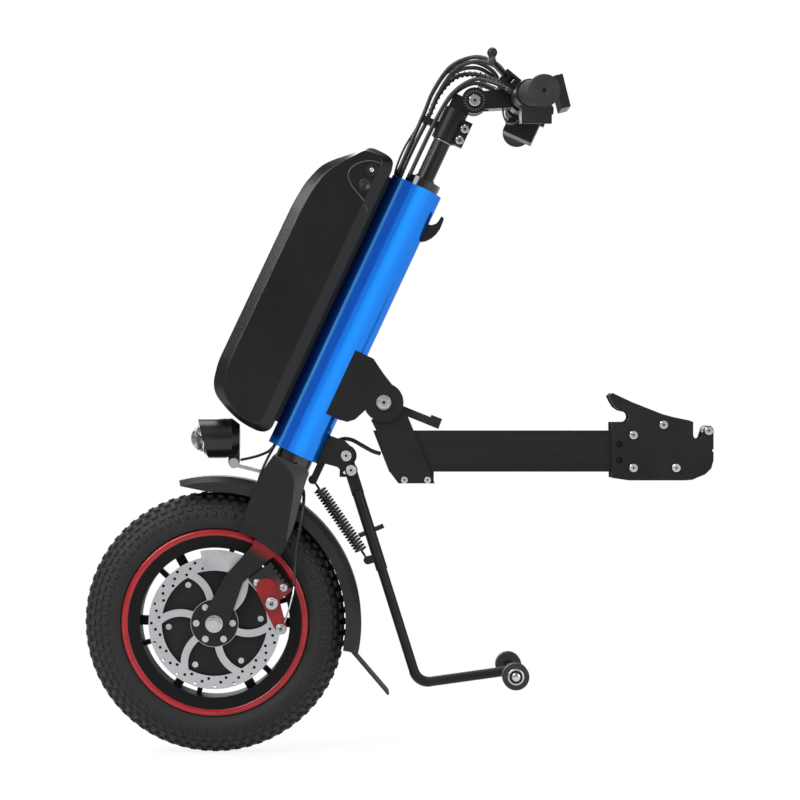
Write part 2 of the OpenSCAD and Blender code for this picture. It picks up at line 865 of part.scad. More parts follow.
module head_tube() {
  color("#1763a8") on_head() difference() {
    translate([0, 0, tube_low]) union() {
      cylinder(r = tube_r, h = tube_len);
      linear_extrude(tube_len) polygon([
        [-tube_front, -tube_face_half], [-tube_front, tube_face_half],
        [tube_chamfer - tube_front, tube_side_half], [tube_tuck, tube_r - tube_tuck],
        [tube_tuck, tube_tuck - tube_r], [tube_chamfer - tube_front, -tube_side_half]
      ]);
    }
    translate([0, 0, tube_low - over]) cylinder(r = tube_bore_r, h = tube_len + 2 * over);
    for (a = [tube_low - over, tube_top - cup_spigot])
      translate([0, 0, a]) cylinder(r = spigot_r + seat_gap, h = cup_spigot + over);
    translate([channel_front_wall - tube_front, -channel_half, tube_low - over])
      cube([channel_d, 2 * channel_half, tube_len + 2 * over]);
  }
}
module cup(r, h, spigot_up) {
  difference() {
    union() {
      cylinder(r = r, h = h);
      translate([0, 0, spigot_up > 0 ? 0 : -cup_spigot]) cylinder(r = spigot_r, h = h + cup_spigot);
    }
    translate([0, 0, -2 * h]) cylinder(r = bearing_r, h = 5 * h);
  }
}
module headset_cups() {
  color("#1c1c1e") on_head() {
    translate([0, 0, crown_top + cup_air]) cup(lower_cup_r, lower_cup_h - cup_air, 1);
    translate([0, 0, tube_top]) cup(upper_cup_r, upper_cup_h, 0);
  }
}
module headset_bearings() {
  color("#8d9095") on_head() for (a = [tube_low, tube_top - bearing_h]) translate([0, 0, a])
    difference() {
    cylinder(r = bearing_r - seat_gap, h = bearing_h);
    translate([0, 0, -over]) cylinder(r = steerer_r + run_fit, h = bearing_h + 2 * over);
  }
}
// The round back of the tube, cut from what is bolted to it
module tube_seat() {
  translate([0, tube_low - over, 0]) rotate([-90, 0, 0]) cylinder(r = tube_r + seat_gap, h = tube_len);
}
module pivot_bracket() {
  color("#242528") side_head() difference() {
    union() {
      both_sides(pivot_plate_in, plate_t) union() {
        translate([pivot_p, pivot_a]) circle(r = pivot_round_r);
        polygon([
          for (q = pivot_shares)
            [tube_r + face_gap + q[0] * pivot_out,
              tube_low + pivot_base_low + q[1] * pivot_base_h]
        ]);
      }
      translate([tube_r - saddle, tube_low + pivot_base_low, -pivot_plate_out])
        cube([pivot_base_t + saddle, pivot_base_h, 2 * pivot_plate_out]);
    }
    tube_seat();
    translate([pivot_p, pivot_a])
      cylinder(r = pivot_bolt_r + run_fit, h = 4 * pivot_plate_out, center = true);
  }
}
// Post through a spring eye, on the plate at its near side and headed at its far side
module eye_post() {
  translate([0, 0, -eye_plate_in - eye_head_t]) {
    cylinder(r = eye_pin_r, h = 2 * eye_plate_in + eye_head_t + eye_plate_t);
    cylinder(r = eye_head_r, h = eye_head_t);
  }
}
module kickstand_bracket() {
  color("#202123") side_head() difference() {
    union() {
      both_sides(tongue_half + face_gap, cheek_t) union() {
        translate([stand_p, stand_a]) circle(r = cheek_round_r);
        translate([stand_p + stop_r * cos(stop_angle + head_lean),
          stand_a + stop_r * sin(stop_angle + head_lean)])
          circle(r = stop_bolt_r * 2);
        polygon([for (q = cheek_shares) [stand_p + q[0] * cheek_l, stand_a + q[1] * stand_up]]);
      }
      translate([tube_r - over, tube_low, -tongue_half - face_gap - cheek_t])
        cube([cheek_base_t, stand_up + cheek_round_r, 2 * (tongue_half + face_gap + cheek_t)]);
      translate([0, 0, eye_plate_in]) linear_extrude(eye_plate_t) union() {
        translate([tab_p, tube_low - tab_drop]) circle(r = tab_r);
        translate([tube_r, tube_low - tab_drop])
          square([tab_p + tab_r - tube_r, tab_drop + cheek_round_r]);
      }
      translate([tab_p, tube_low - tab_drop]) eye_post();
    }
    tube_seat();
    translate([stand_p, stand_a]) cylinder(r = stand_bolt_r + run_fit, h = 8 * tongue_half,
      center = true);
    translate([stand_p + stop_r * cos(stop_angle + head_lean),
      stand_a + stop_r * sin(stop_angle + head_lean)])
      cylinder(r = stop_bolt_r + seat_gap, h = 8 * tongue_half, center = true);
  }
}
module frame_bolts() {
  color("#b9bcc0") side(stand_at) for (q = [[0, 0], stop_r * [cos(stop_angle), sin(stop_angle)]])
    translate(q) through_bolt(stand_bolt_r, tongue_half + face_gap + cheek_t, stand_head_r,
      stand_head_h);
}
module battery_rail() {
  color("#151517") on_head()
    translate([-tube_front - rail_h - rail_grip, -rail_half, battery_low + rail_inset])
      cube([rail_h + rail_grip, 2 * rail_half, tube_top - rail_top_gap - battery_low - rail_inset]);
}
module bag_hook() {
  color("#1c1c1f") side_head() difference() {
    translate([tube_r, tube_top - hook_drop, -hook_half]) linear_extrude(2 * hook_half)
      polygon([for (q = hook_shares) [q[0] * hook_out, q[1] * hook_h]]);
    tube_seat();
  }
}
module controller() {
  color("#2c5f3a") on_head()
    translate([channel_front_wall + board_play - tube_front, board_play - channel_half,
      tube_low + board_up])
      cube([channel_d - 2 * board_play, 2 * (channel_half - board_play), board_len]);
}

function battery_points(shares, inset) = [
  for (q = shares) [
    -battery_back - inset - q[0] * (battery_depth - 2 * inset),
    battery_low + inset + q[1] * (battery_len - 2 * inset)
  ]
];
// Solid form of the battery: its side outline with the bevels of its cross section
module battery_form(inset) {
  half = battery_w / 2 - inset;
  back = -battery_back - inset;
  front = -battery_back - battery_depth + inset;
  narrow = half - battery_bevel_in;
  on_head() intersection() {
    rotate([90, 0, 0]) linear_extrude(2 * battery_w, center = true)
      polygon(battery_points(battery_shares, inset));
    translate([0, 0, battery_low - over]) linear_extrude(battery_len + 2 * over) polygon([
      [back, -narrow], [back - battery_back_bevel, -half], [front + battery_front_bevel, -half],
      [front, -narrow], [front, narrow], [front + battery_front_bevel, half],
      [back - battery_back_bevel, half], [back, narrow]
    ]);
  }
}
module lock_form(grow) {
  side_head() linear_extrude(2 * battery_w, center = true) polygon([
    for (q = battery_points(lock_shares, 0)) q + [0, -grow]
  ]);
}
module rail_groove() {
  on_head() translate([-battery_back - rail_grip - rail_play, -rail_half - rail_play, battery_low - over])
    cube([rail_grip + rail_play + over, 2 * (rail_half + rail_play), battery_len + 2 * over]);
}
module case_half(s) {
  difference() {
    battery_form(0);
    difference() {
      battery_form(battery_wall);
      on_head() translate([-battery_back - rail_grip - rail_play - battery_wall,
        -rail_half - 2 * battery_wall,
                 battery_low])
        cube([battery_depth, 2 * rail_half + 4 * battery_wall, battery_len]);
    }
    rail_groove();
    lock_form(seat_gap);
    lock_form(-seat_gap);
    on_head() translate([-battery_back - 2 * battery_depth, s > 0 ? -battery_w : 0, battery_low - over])
      cube([3 * battery_depth, battery_w, battery_len + 2 * over]);
  }
}
module battery_case_left() {
  color("#19191b") case_half(-1);
}
module battery_case_right() {
  color("#19191b") case_half(1);
}
function battery_place(share) = [-battery_back - share[0] * battery_depth,
  battery_low + share[1] * battery_len];
module battery_cap() {
  color("#222225") {
    difference() {
      intersection() {
        battery_form(0);
        lock_form(0);
      }
      rail_groove();
      side_head() translate(battery_place(key_share))
        translate([0, 0, battery_w / 2 - key_depth])
          cylinder(r = key_r + run_fit, h = 2 * key_depth);
    }
    side_head() translate(battery_place(port_share))
      translate([0, 0, battery_w / 2 - over]) cylinder(r = port_r, h = port_proud + over);
  }
}
module key_lock() {
  color("#c4c6c9") side_head() translate(battery_place(key_share))
    translate([0, 0, battery_w / 2 - key_depth]) difference() {
    cylinder(r = key_r, h = key_depth + key_proud);
    translate([-key_slot_w / 2, -key_slot_l / 2, key_depth])
      cube([key_slot_w, key_slot_l, 2 * key_proud]);
  }
}
module battery_cells() {
  half = battery_w / 2 - battery_wall - cells_gap;
  back = -battery_back - cells_back_share * battery_depth;
  front = -battery_back - cells_front_share * battery_depth;
  color("#3f77b5") on_head() translate([front, -half, battery_low + cells_low_share * battery_len])
    cube([back - front, 2 * half, (cells_top_share - cells_low_share) * battery_len]);
}

module steerer() {
  color("#17181a") on_head() translate([0, 0, crown_low]) union() {
    cylinder(r = steerer_r, h = cup_top + steerer_over - crown_low);
    cylinder(r = post_r, h = clamp_top - post_stop - crown_low);
  }
}
module fork_crown() {
  color("#232427") on_head() difference() {
    union() {
      translate([-crown_front_share * blade_w, -leg_in, crown_low])
        cube([(crown_front_share + crown_back_share) * blade_w, 2 * leg_in,
          crown_boss_share * crown_h]);
      translate([0, 0, crown_low]) cylinder(r = crown_boss_r, h = crown_h);
    }
    translate([0, 0, crown_low - over]) cylinder(r = steerer_r + seat_gap, h = crown_h + 2 * over);
  }
}
module leg_outline() {
  difference() {
    union() {
      difference() {
        polygon([for (q = blade_shares) [q[0] * blade_w, q[1] * crown_top]]);
        translate([-fork_offset, 0]) circle(r = blade_arc_r);
      }
      polygon([for (q = arm_shares) [q[0] * blade_w, q[1] * blade_arc_r]]);
      translate([-fork_offset, 0]) circle(r = dropout_r);
    }
    translate([-fork_offset, 0]) circle(r = axle_r + seat_gap);
  }
}
module fork_legs() {
  color("#1f2022") side_head() both_sides(leg_in, leg_t) leg_outline();
}
function guard_section(drop) = [
  [guard_r - drop, -guard_half_w], [guard_r - guard_chamfer, -guard_half_w],
  [guard_r, guard_chamfer - guard_half_w], [guard_r, guard_half_w - guard_chamfer],
  [guard_r - guard_chamfer, guard_half_w], [guard_r - drop, guard_half_w],
  [guard_r - drop, guard_half_w - guard_t], [guard_r - guard_chamfer, guard_half_w - guard_t],
  [guard_r - guard_t, guard_half_w - guard_chamfer - over], [guard_r - guard_t,
    guard_chamfer + over - guard_half_w],
  [guard_r - guard_chamfer, guard_t - guard_half_w], [guard_r - drop, guard_t - guard_half_w]
];
nose_low = (guard_r - guard_side_drop - guard_nose_ease) * [cos(guard_side_end), sin(guard_side_end)];
nose_tip = (guard_r - guard_nose_drop) * [cos(guard_nose_end), sin(guard_nose_end)];
module mudguard() {
  color("#1d1d1f") union() {
    side(axle_at) difference() {
      rotate(guard_start) rotate_extrude(angle = guard_nose_end - guard_start, $fn = 128)
        polygon(guard_section(guard_side_drop));
      linear_extrude(4 * guard_half_w, center = true)
        polygon([[0, 0], nose_low, 2 * nose_tip - nose_low]);
    }
    on_head() translate([-guard_pad_l / 2, -guard_pad_w / 2, guard_r - guard_t])
      cube([guard_pad_l, guard_pad_w, guard_pad_h + guard_t]);
  }
}
flap_r = guard_r - guard_t - flap_t - face_gap;
module mud_flap() {
  half = guard_half_w - guard_t - face_gap - flap_side;
  color("#1a1a1b") side(axle_at) rotate(guard_start) translate([flap_r, 0, 0])
    rotate(-guard_start - flap_lean)
    translate([-flap_tuck, -flap_t, -half]) cube([flap_len, flap_t, 2 * half]);
}
module axle() {
  color("#b4b7bb") side(axle_at) {
    cylinder(r = axle_r, h = 2 * axle_half, center = true);
    for (s = [-1, 1]) {
      translate([0, 0, s * (leg_out + washer_t / 2)]) difference() {
        cylinder(r = washer_r, h = washer_t, center = true);
        cylinder(r = axle_r + seat_gap, h = 2 * washer_t, center = true);
      }
      translate([0, 0, s * (leg_out + washer_t + nut_h / 2)]) difference() {
        cylinder(r = nut_r, h = nut_h, center = true, $fn = 6);
        cylinder(r = axle_r + seat_gap, h = 2 * nut_h, center = true);
      }
    }
  }
}
module motor_stator() {
  color("#a5672f") side(axle_at) difference() {
    cylinder(r = motor_r - motor_wall - stator_r_gap, h = motor_w - 2 * stator_half_gap, center = true);
    cylinder(r = axle_r + seat_gap, h = motor_w, center = true);
    for (k = [0 : stator_slots - 1]) rotate(360 * k / stator_slots)
      translate([motor_r - motor_wall - stator_r_gap - stator_slot_d, -stator_slot_w / 2, -motor_w])
        cube([stator_slot_d + over, stator_slot_w, 2 * motor_w]);
  }
}
// A block in the caliper's polar frame: radial span, sideways span and depth span towards the viewer
module caliper_block(r0, r1, s0, s1, d0, d1) {
  translate([r0, s0, d0]) cube([r1 - r0, s1 - s0, d1 - d0]);
}
disc_out = disc_y + disc_t;
module caliper_body() {
  color("#242427") side(axle_at) rotate(caliper_angle) difference() {
    union() {
      caliper_block(caliper_in_r, caliper_out_r, caliper_low, caliper_high, disc_out + caliper_air,
             disc_out + caliper_air + caliper_depth);
      caliper_block(caliper_bridge_r, rim_inner_r - ear_t, -caliper_inner_half, caliper_inner_half,
             disc_y - caliper_air - caliper_inner_t, disc_out + caliper_air + over);
      caliper_block(caliper_in_r, rim_inner_r - ear_t, -caliper_inner_half, caliper_inner_half,
             disc_y - caliper_air - caliper_inner_t, disc_y - caliper_air);
      caliper_block(caliper_in_r, rim_inner_r - ear_t, 0, ear_end, leg_in - ear_t, leg_in);
    }
    for (k = [0 : fin_count - 1])
      caliper_block(caliper_out_r - fin_depth, caliper_out_r + over,
        caliper_low + fin_pitch + k * (fin_w + fin_pitch),
             caliper_low + fin_pitch + fin_w + k * (fin_w + fin_pitch), 0, 2 * leg_out);
    rotate(-caliper_angle) translate(arm_pivot) cylinder(r = arm_bolt_r + run_fit, h = 4 * leg_out);
  }
}
module caliper_bracket() {
  color("#c9ccd0") side(axle_at) translate([0, 0, leg_in - adapter_t]) rotate(adapter_from)
    rotate_extrude(angle = adapter_to - adapter_from) translate([caliper_in_r - adapter_edge, 0])
      square([rim_inner_r - caliper_in_r, adapter_t]);
}
arm_y = disc_out + caliper_air + caliper_depth + face_gap;
module caliper_arm() {
  color("#c0232b") side(axle_at) translate([0, 0, arm_y]) union() {
    hull() {
      translate(arm_top) cylinder(r = arm_r, h = arm_t, $fn = 32);
      translate(arm_end) cylinder(r = arm_end_r, h = arm_t, $fn = 32);
    }
    translate(arm_pivot) cylinder(r = arm_boss_r, h = arm_t + arm_boss_h);
    translate(arm_pivot) translate([0, 0, -caliper_depth / 2])
      cylinder(r = arm_bolt_r, h = caliper_depth);
    translate(arm_end) cylinder(r = arm_end_r - over, h = arm_t + arm_boss_h);
  }
}
module headlight_bracket() {
  color("#c3c5c8") union() {
    side(lamp_at) {
      both_sides(lamp_lug_half + face_gap, lamp_cheek_t) union() {
        circle(r = lamp_cheek_r);
        rotate(-strip_droop) translate([0, -strip_t]) square([strip_l, strip_t]);
      }
      rotate(-strip_droop) translate([strip_start, -strip_t, -lamp_lug_half - face_gap])
        cube([strip_l - strip_start, strip_t, 2 * (lamp_lug_half + face_gap)]);
      through_bolt(lamp_bolt_r, lamp_lug_half + face_gap + lamp_cheek_t, lamp_head_r, lamp_head_h);
    }
    on_head() translate([-max(crown_front_share * blade_w, crown_boss_r) - seat_gap - foot_plate_t,
      -foot_plate_half,
      crown_low + foot_plate_up])
      cube([foot_plate_t, 2 * foot_plate_half, foot_plate_h]);
  }
}
// The lamp's own axis: z forward, from a point above the tilt bolt
module on_lamp() {
  translate(lamp_at + [0, 0, lamp_up]) rotate([0, -90, 0]) children();
}
module headlight_housing() {
  color("#1b1b1d") union() {
    on_lamp() difference() {
      union() {
        rotate_extrude() polygon([
          [0, -lamp_back], [lamp_rear_r, -lamp_back], [lamp_r, lamp_rear_run - lamp_back],
          [lamp_r, lamp_front], [lens_r + lamp_wall, lamp_front + bezel_l], [0,
            lamp_front + bezel_l]
        ]);
        difference() {
          rotate_extrude() translate([visor_out - visor_t, lamp_rear_run])
            square([visor_t, lamp_front + visor_l - lamp_rear_run]);
          translate([-visor_out, -2 * visor_out, lamp_front]) rotate([0, -visor_rake, 0])
            translate([-visor_out, 0, 0]) cube([4 * visor_out, 4 * visor_out, 2 * visor_l]);
        }
      }
      translate([0, 0, lamp_front + bezel_l - lens_seat])
        cylinder(r = lens_r + seat_gap, h = lens_seat + over);
    }
    side(lamp_at) difference() {
      translate([-lug_w / 2, 0, -lamp_lug_half]) cube([lug_w, lamp_up - lamp_rear_r + over,
        2 * lamp_lug_half]);
      cylinder(r = lamp_bolt_r + run_fit, h = 4 * lamp_lug_half, center = true);
    }
  }
}
module headlight_lens() {
  color("#dfe6ec") on_lamp() translate([0, 0, lamp_front + bezel_l - lens_seat + seat_gap]) union() {
    cylinder(r = lens_r, h = lens_seat);
    translate([0, 0, lens_seat]) intersection() {
      sphere(r = lens_r);
      cylinder(r = 2 * lens_r, h = 2 * lens_r);
    }
  }
}

// Tread: rows of blocks, each row by its angle from the crown and its shift in pitches
tread_h = 3;
tread_sunk = 2;
tread_w = 8;
tread_l = 8.5;
tread_count = 72;
tread_rows = [[0, 0], [24, 0.5], [-24, 0.5]];
tread_crown = tyre_r - sqrt(pow(tyre_r, 2) - pow(tread_l / 2, 2));
module tyre_form(off) {
  intersection() {
    translate([tyre_mid_r, 0]) circle(d = tyre_w - 2 * off);
    translate([tyre_mid_r - tread_h, 0]) circle(d = tyre_w - 2 * off);
  }
}
module tyre() {
  color("#1a1a1c") side(axle_at) union() {
    rotate_extrude($fn = 128) difference() {
      tyre_form(0);
      tyre_form(tyre_wall);
      translate([0, -tyre_w]) square([rim_seat_r + face_gap, 2 * tyre_w]);
    }
    for (row = tread_rows) for (k = [0 : tread_count - 1]) rotate(360 * (k + row[1]) / tread_count)
      translate([tyre_mid_r - tread_h, 0, 0]) rotate([0, -row[0], 0])
        translate([tyre_w / 2 - tread_sunk, -tread_l / 2, -tread_w / 2])
          cube([tread_h + tread_sunk - tread_crown, tread_l, tread_w]);
  }
}
module cast_wheel() {
  color("#1f1f22") side(axle_at) union() {
    rotate_extrude($fn = 128) polygon([
      [rim_inner_r, -rim_half_w], [rim_r, -rim_half_w], [rim_r, rim_edge_t - rim_half_w],
      [rim_seat_r, rim_edge_t - rim_half_w], [rim_seat_r, rim_half_w - rim_edge_t],
      [rim_r, rim_half_w - rim_edge_t], [rim_r, rim_half_w], [rim_inner_r, rim_half_w]
    ]);
    difference() {
      cylinder(r = motor_r, h = motor_w, center = true, $fn = 128);
      cylinder(r = motor_r - motor_wall, h = 2 * motor_w, center = true, $fn = 128);
    }
    rotate_extrude($fn = 128) translate([motor_r - spoke_root, -web_t / 2])
      square([disc_r - web_inset - motor_r + spoke_root, web_t]);
    for (k = [0 : spoke_pairs - 1]) rotate(spoke_first + 360 * k / spoke_pairs) {
      spoke(spoke_wide);
      rotate(spoke_step) spoke(spoke_narrow);
    }
  }
}
module spoke(w) {
  translate([motor_r - spoke_root, -w / 2, -spoke_t / 2])
    cube([rim_inner_r - motor_r + 2 * spoke_root, w, spoke_t]);
}
module bolt_ring(r, first) {
  for (k = [0 : bolt_count - 1]) rotate(first + 360 * k / bolt_count) translate([r, 0, 0]) children();
}
module motor_covers() {
  color("#212124") side(axle_at) difference() {
    union() {
      for (s = [-1, 1]) translate([0, 0, s * (cover_y + cover_t / 2)])
        cylinder(r = motor_r, h = cover_t, center = true, $fn = 128);
      translate([0, 0, carrier_y]) cylinder(r = carrier_r, h = carrier_h);
      translate([0, 0, -carrier_y - right_boss_h]) cylinder(r = right_boss_r, h = right_boss_h);
    }
    cylinder(r = axle_r + run_fit, h = 6 * motor_w, center = true);
    bolt_ring(rotor_bolt_circle_r, 0)
      translate([0, 0, cover_y - over]) cylinder(r = rotor_bolt_r + seat_gap, h = motor_w);
    bolt_ring(cover_screw_circle_r, cover_screw_first)
      cylinder(r = cover_screw_r + seat_gap, h = 4 * motor_w, center = true);
  }
}
module disc_outline() {
  difference() {
    union() {
      difference() {
        circle(r = disc_r, $fn = 128);
        circle(r = disc_r - disc_ring_w, $fn = 128);
      }
      circle(r = carrier_r);
      for (k = [0 : disc_arms - 1]) rotate(360 * k / disc_arms) intersection() {
        difference() {
          circle(r = disc_r - disc_ring_w / 2, $fn = 128);
          circle(r = carrier_r - over);
        }
        translate([disc_arm_r, -disc_arm_r / 2]) difference() {
          circle(r = disc_arm_r);
          circle(r = disc_arm_r - disc_arm_w);
          translate([0, -2 * disc_arm_r]) square(4 * disc_arm_r);
          translate([-2 * disc_arm_r, 0]) square(4 * disc_arm_r);
        }
      }
    }
    circle(r = disc_bore_r);
    bolt_ring(rotor_bolt_circle_r, 0) circle(r = rotor_bolt_r + seat_gap);
    for (k = [0 : disc_holes - 1]) rotate(360 * k / disc_holes)
      translate([disc_r - disc_ring_w * disc_hole_shares[k % len(disc_hole_shares)], 0])
        circle(r = disc_hole_r, $fn = 24);
  }
}
module brake_disc() {
  color("#c8cacd") side(axle_at) translate([0, 0, disc_y]) linear_extrude(disc_t) disc_outline();
}
module wheel_bolts() {
  color("#2b2b2e") side(axle_at) {
    bolt_ring(rotor_bolt_circle_r, 0) translate([0, 0, cover_y]) union() {
      cylinder(r = rotor_bolt_r, h = disc_out - cover_y + rotor_head_h);
      translate([0, 0, disc_out - cover_y]) cylinder(r = rotor_head_r, h = rotor_head_h);
    }
    bolt_ring(cover_screw_circle_r, cover_screw_first) for (s = [0, 1]) rotate([180 * s, 0, 0])
      translate([0, 0, cover_y]) union() {
        cylinder(r = cover_screw_r, h = cover_t + cover_screw_head_h);
        translate([0, 0, cover_t]) cylinder(r = cover_screw_head_r, h = cover_screw_head_h);
      }
  }
}

module stem_clamp() {
  color("#1b1c1e") on_head() difference() {
    union() {
      translate([0, 0, clamp_low]) cylinder(r = clamp_r, h = clamp_h);
      translate([0, -clamp_lug_half, clamp_low + over])
        cube([clamp_lug_out, 2 * clamp_lug_half, clamp_lug_h]);
      translate([-post_r, -neck_half, clamp_top - over])
        cube([post_r + stem_back, 2 * neck_half, stem_rise]);
      translate([stem_back, 0, stem_pivot_a]) rotate([90, 0, 0])
        cylinder(r = head_round_r, h = 2 * neck_half, center = true);
      translate([-clamp_r - clip_reach, -clip_half, clamp_low + clip_up])
        cube([clip_reach + clamp_r / 2, 2 * clip_half, clip_h]);
    }
    translate([0, 0, clamp_low - over]) cylinder(r = post_r + seat_gap,
      h = clamp_h + over - post_stop + seat_gap);
    translate([post_r - over, -clamp_slot / 2, clamp_low - over])
      cube([clamp_lug_out, clamp_slot, clamp_lug_h + 2 * over]);
    for (u = clamp_bolt_ups) translate([clamp_bolt_p, 0, clamp_low + u]) rotate([90, 0, 0])
      cylinder(r = stem_bolt_r + seat_gap, h = 4 * clamp_lug_half, center = true);
    translate([stem_back, 0, stem_pivot_a]) rotate([90, 0, 0])
      cylinder(r = stem_pivot_r + seat_gap, h = 4 * neck_half, center = true);
  }
}
module stem_bolts() {
  color("#c9ccd0") side_head() {
    for (u = clamp_bolt_ups) translate([clamp_bolt_p, clamp_low + u])
      through_bolt(stem_bolt_r, clamp_lug_half, stem_head_r, stem_head_h);
    translate([stem_back, stem_pivot_a])
      through_bolt(stem_pivot_r, cheek_out + face_gap, stem_pivot_head_r, stem_head_h);
  }
}
module stem_arm() {
  color("#1d1e20") side(stem_at) rotate(stem_slope) difference() {
    union() {
      both_sides(neck_half + face_gap, cheek_out - neck_half - face_gap) union() {
        circle(r = stem_round_r);
        translate([0, -stem_arm_h / 2]) square([stem_len, stem_arm_h]);
      }
      translate([stem_round_r + over, -stem_arm_h / 2, -cheek_out])
        cube([stem_len - stem_round_r - over, stem_arm_h, 2 * cheek_out]);
      translate([stem_len, 0, 0]) cylinder(r = bar_clamp_r, h = 2 * bar_clamp_half, center = true);
    }
    cylinder(r = stem_pivot_r + run_fit, h = 4 * cheek_out, center = true);
    translate([stem_len, 0, 0]) cylinder(r = bar_mid_r + seat_gap, h = 4 * bar_clamp_half,
      center = true);
  }
}
module handlebar() {
  color("#1b1b1d") union() {
    translate(bar_at) rotate([90, 0, 0]) cylinder(r = bar_mid_r, h = 2 * kink_y, center = true);
    for (s = [-1, 1]) on_bar(s) translate([0, 0, -kink_tuck])
      cylinder(r = bar_r, h = bar_run + kink_tuck);
  }
}
module grips() {
  color("#161617") for (s = [-1, 1]) on_bar(s) difference() {
    union() {
      translate([0, 0, grip_start]) cylinder(r = grip_d / 2, h = grip_len + grip_cap);
      translate([0, 0, bar_run + grip_cap - grip_flange_t])
        cylinder(r = grip_flange_r, h = grip_flange_t);
    }
    translate([0, 0, grip_start - over]) cylinder(r = bar_r + seat_gap, h = grip_len + over + seat_gap);
    translate([0, 0, bar_run]) cylinder(r = grip_hole_r, h = 2 * grip_cap);
  }
}
// A round rod between two points
module rod(a, b, r) {
  d = b - a;
  translate(a) rotate([0, acos(d[2] / norm(d)), atan2(d[1], d[0])]) cylinder(r = r, h = norm(d));
}
module brake_perches() {
  color("#222225") for (s = [-1, 1]) {
    on_lever(s) difference() {
      union() {
        translate([0, 0, perch_start]) cylinder(r = perch_r, h = perch_w);
        translate([bar_r, -fork_half, perch_start])
          cube([lever_pivot_out + lever_root_r - bar_r, 2 * fork_half, perch_w]);
      }
      translate([0, 0, perch_start - over]) cylinder(r = bar_r + seat_gap, h = perch_w + 2 * over);
      translate([lever_pivot_out - lever_root_r - over, -lever_half_t - face_gap, perch_start - over])
        cube([3 * lever_root_r, 2 * (lever_half_t + face_gap), perch_w + 2 * over]);
    }
    on_lever(s) translate([lever_pivot_out, 0, lever_pivot_run]) rotate([90, 0, 0])
      cylinder(r = lever_pin_r, h = 2 * fork_half, center = true);
  }
}
module brake_lever(s) {
  pin = [lever_pivot_out, 0, lever_pivot_run];
  knee = [lever_pivot_out + lever_bend_share * (lever_reach - lever_pivot_out), 0,
    lever_pivot_run + lever_bend_run];
  tip = [lever_reach, 0, lever_run];
  on_lever(s) difference() {
    union() {
      translate(pin) rotate([90, 0, 0]) cylinder(r = lever_root_r, h = 2 * lever_half_t,
        center = true);
      rod(pin, knee, lever_half_t - face_gap);
      translate(knee) sphere(r = lever_blade_r + over);
      rod(knee, tip, lever_blade_r);
      translate(tip) sphere(r = lever_tip_r);
    }
    translate(pin) rotate([90, 0, 0]) cylinder(r = lever_pin_r + run_fit, h = 4 * fork_half,
      center = true);
  }
}
module brake_lever_left() {
  color("#2a2a2d") brake_lever(-1);
}
module brake_lever_right() {
  color("#2a2a2d") brake_lever(1);
}
module switch_box() {
  color("#1d1d20") on_bar(-1) difference() {
    union() {
      translate([0, 0, box_start]) cylinder(r = box_r, h = box_w);
      translate([-switch_front, 0, box_start]) cube([switch_front + switch_back, switch_drop, box_w]);
    }
    translate([0, 0, box_start - over]) cylinder(r = bar_r + seat_gap, h = box_w + 2 * over);
    translate([switch_back - button_h - button_travel, button_down, box_start + box_w / 2])
      rotate([0, 90, 0])
      cylinder(r = button_r + run_fit, h = 2 * button_h + button_travel);
  }
}
module horn_button() {
  color("#2a2a2d") on_bar(-1) translate([switch_back - button_h, button_down, box_start + box_w / 2])
    rotate([0, 90, 0]) cylinder(r = button_r, h = button_h + button_proud);
}
module throttle_housing() {
  color("#1d1d20") on_bar(1) difference() {
    union() {
      translate([0, 0, box_start]) cylinder(r = box_r, h = box_w);
      rotate(control_turn) translate([-control_front, -control_lap, box_start + control_inset])
        cube([control_front + control_back, control_drop + control_lap, box_w - 2 * control_inset]);
    }
    translate([0, 0, box_start - over]) cylinder(r = bar_r + seat_gap, h = box_w + 2 * over);
  }
}
module thumb_throttle() {
  color("#26262a") on_bar(1) translate([0, 0, box_start + box_w + throttle_gap]) difference() {
    union() {
      cylinder(r = throttle_r, h = throttle_t);
      rotate(throttle_angle) translate([(bar_r + throttle_r) / 2, -throttle_arm_w / 2, 0])
        cube([throttle_arm - (bar_r + throttle_r) / 2, throttle_arm_w, throttle_t]);
    }
    translate([0, 0, -over]) cylinder(r = bar_r + run_fit, h = throttle_t + 2 * over);
  }
}
module display() {
  color("#18191b") translate(bar_at) difference() {
    union() {
      translate([0, -display_ring_at, 0]) rotate([90, 0, 0])
        cylinder(r = display_ring_r, h = display_ring_w, center = true);
      translate([bar_mid_r, -display_ring_at - display_ring_w / 2, -display_arm_h / 2])
        cube([display_back - bar_mid_r - display_t / 2, display_ring_w, display_arm_h]);
      translate([display_back, -display_side - display_w, 0]) rotate([0, -display_tilt, 0])
        translate([-display_t, 0, -display_h / 2]) cube([display_t, display_w, display_h]);
    }
    translate([0, -display_ring_at, 0]) rotate([90, 0, 0])
      cylinder(r = bar_mid_r + seat_gap, h = 4 * display_ring_w, center = true);
  }
}

module stand_tube(from, to, d) {
  translate(stand_at) rotate([0, 180 - stand_lean, 0]) translate([0, 0, from])
    cylinder(d = d, h = to - from);
}
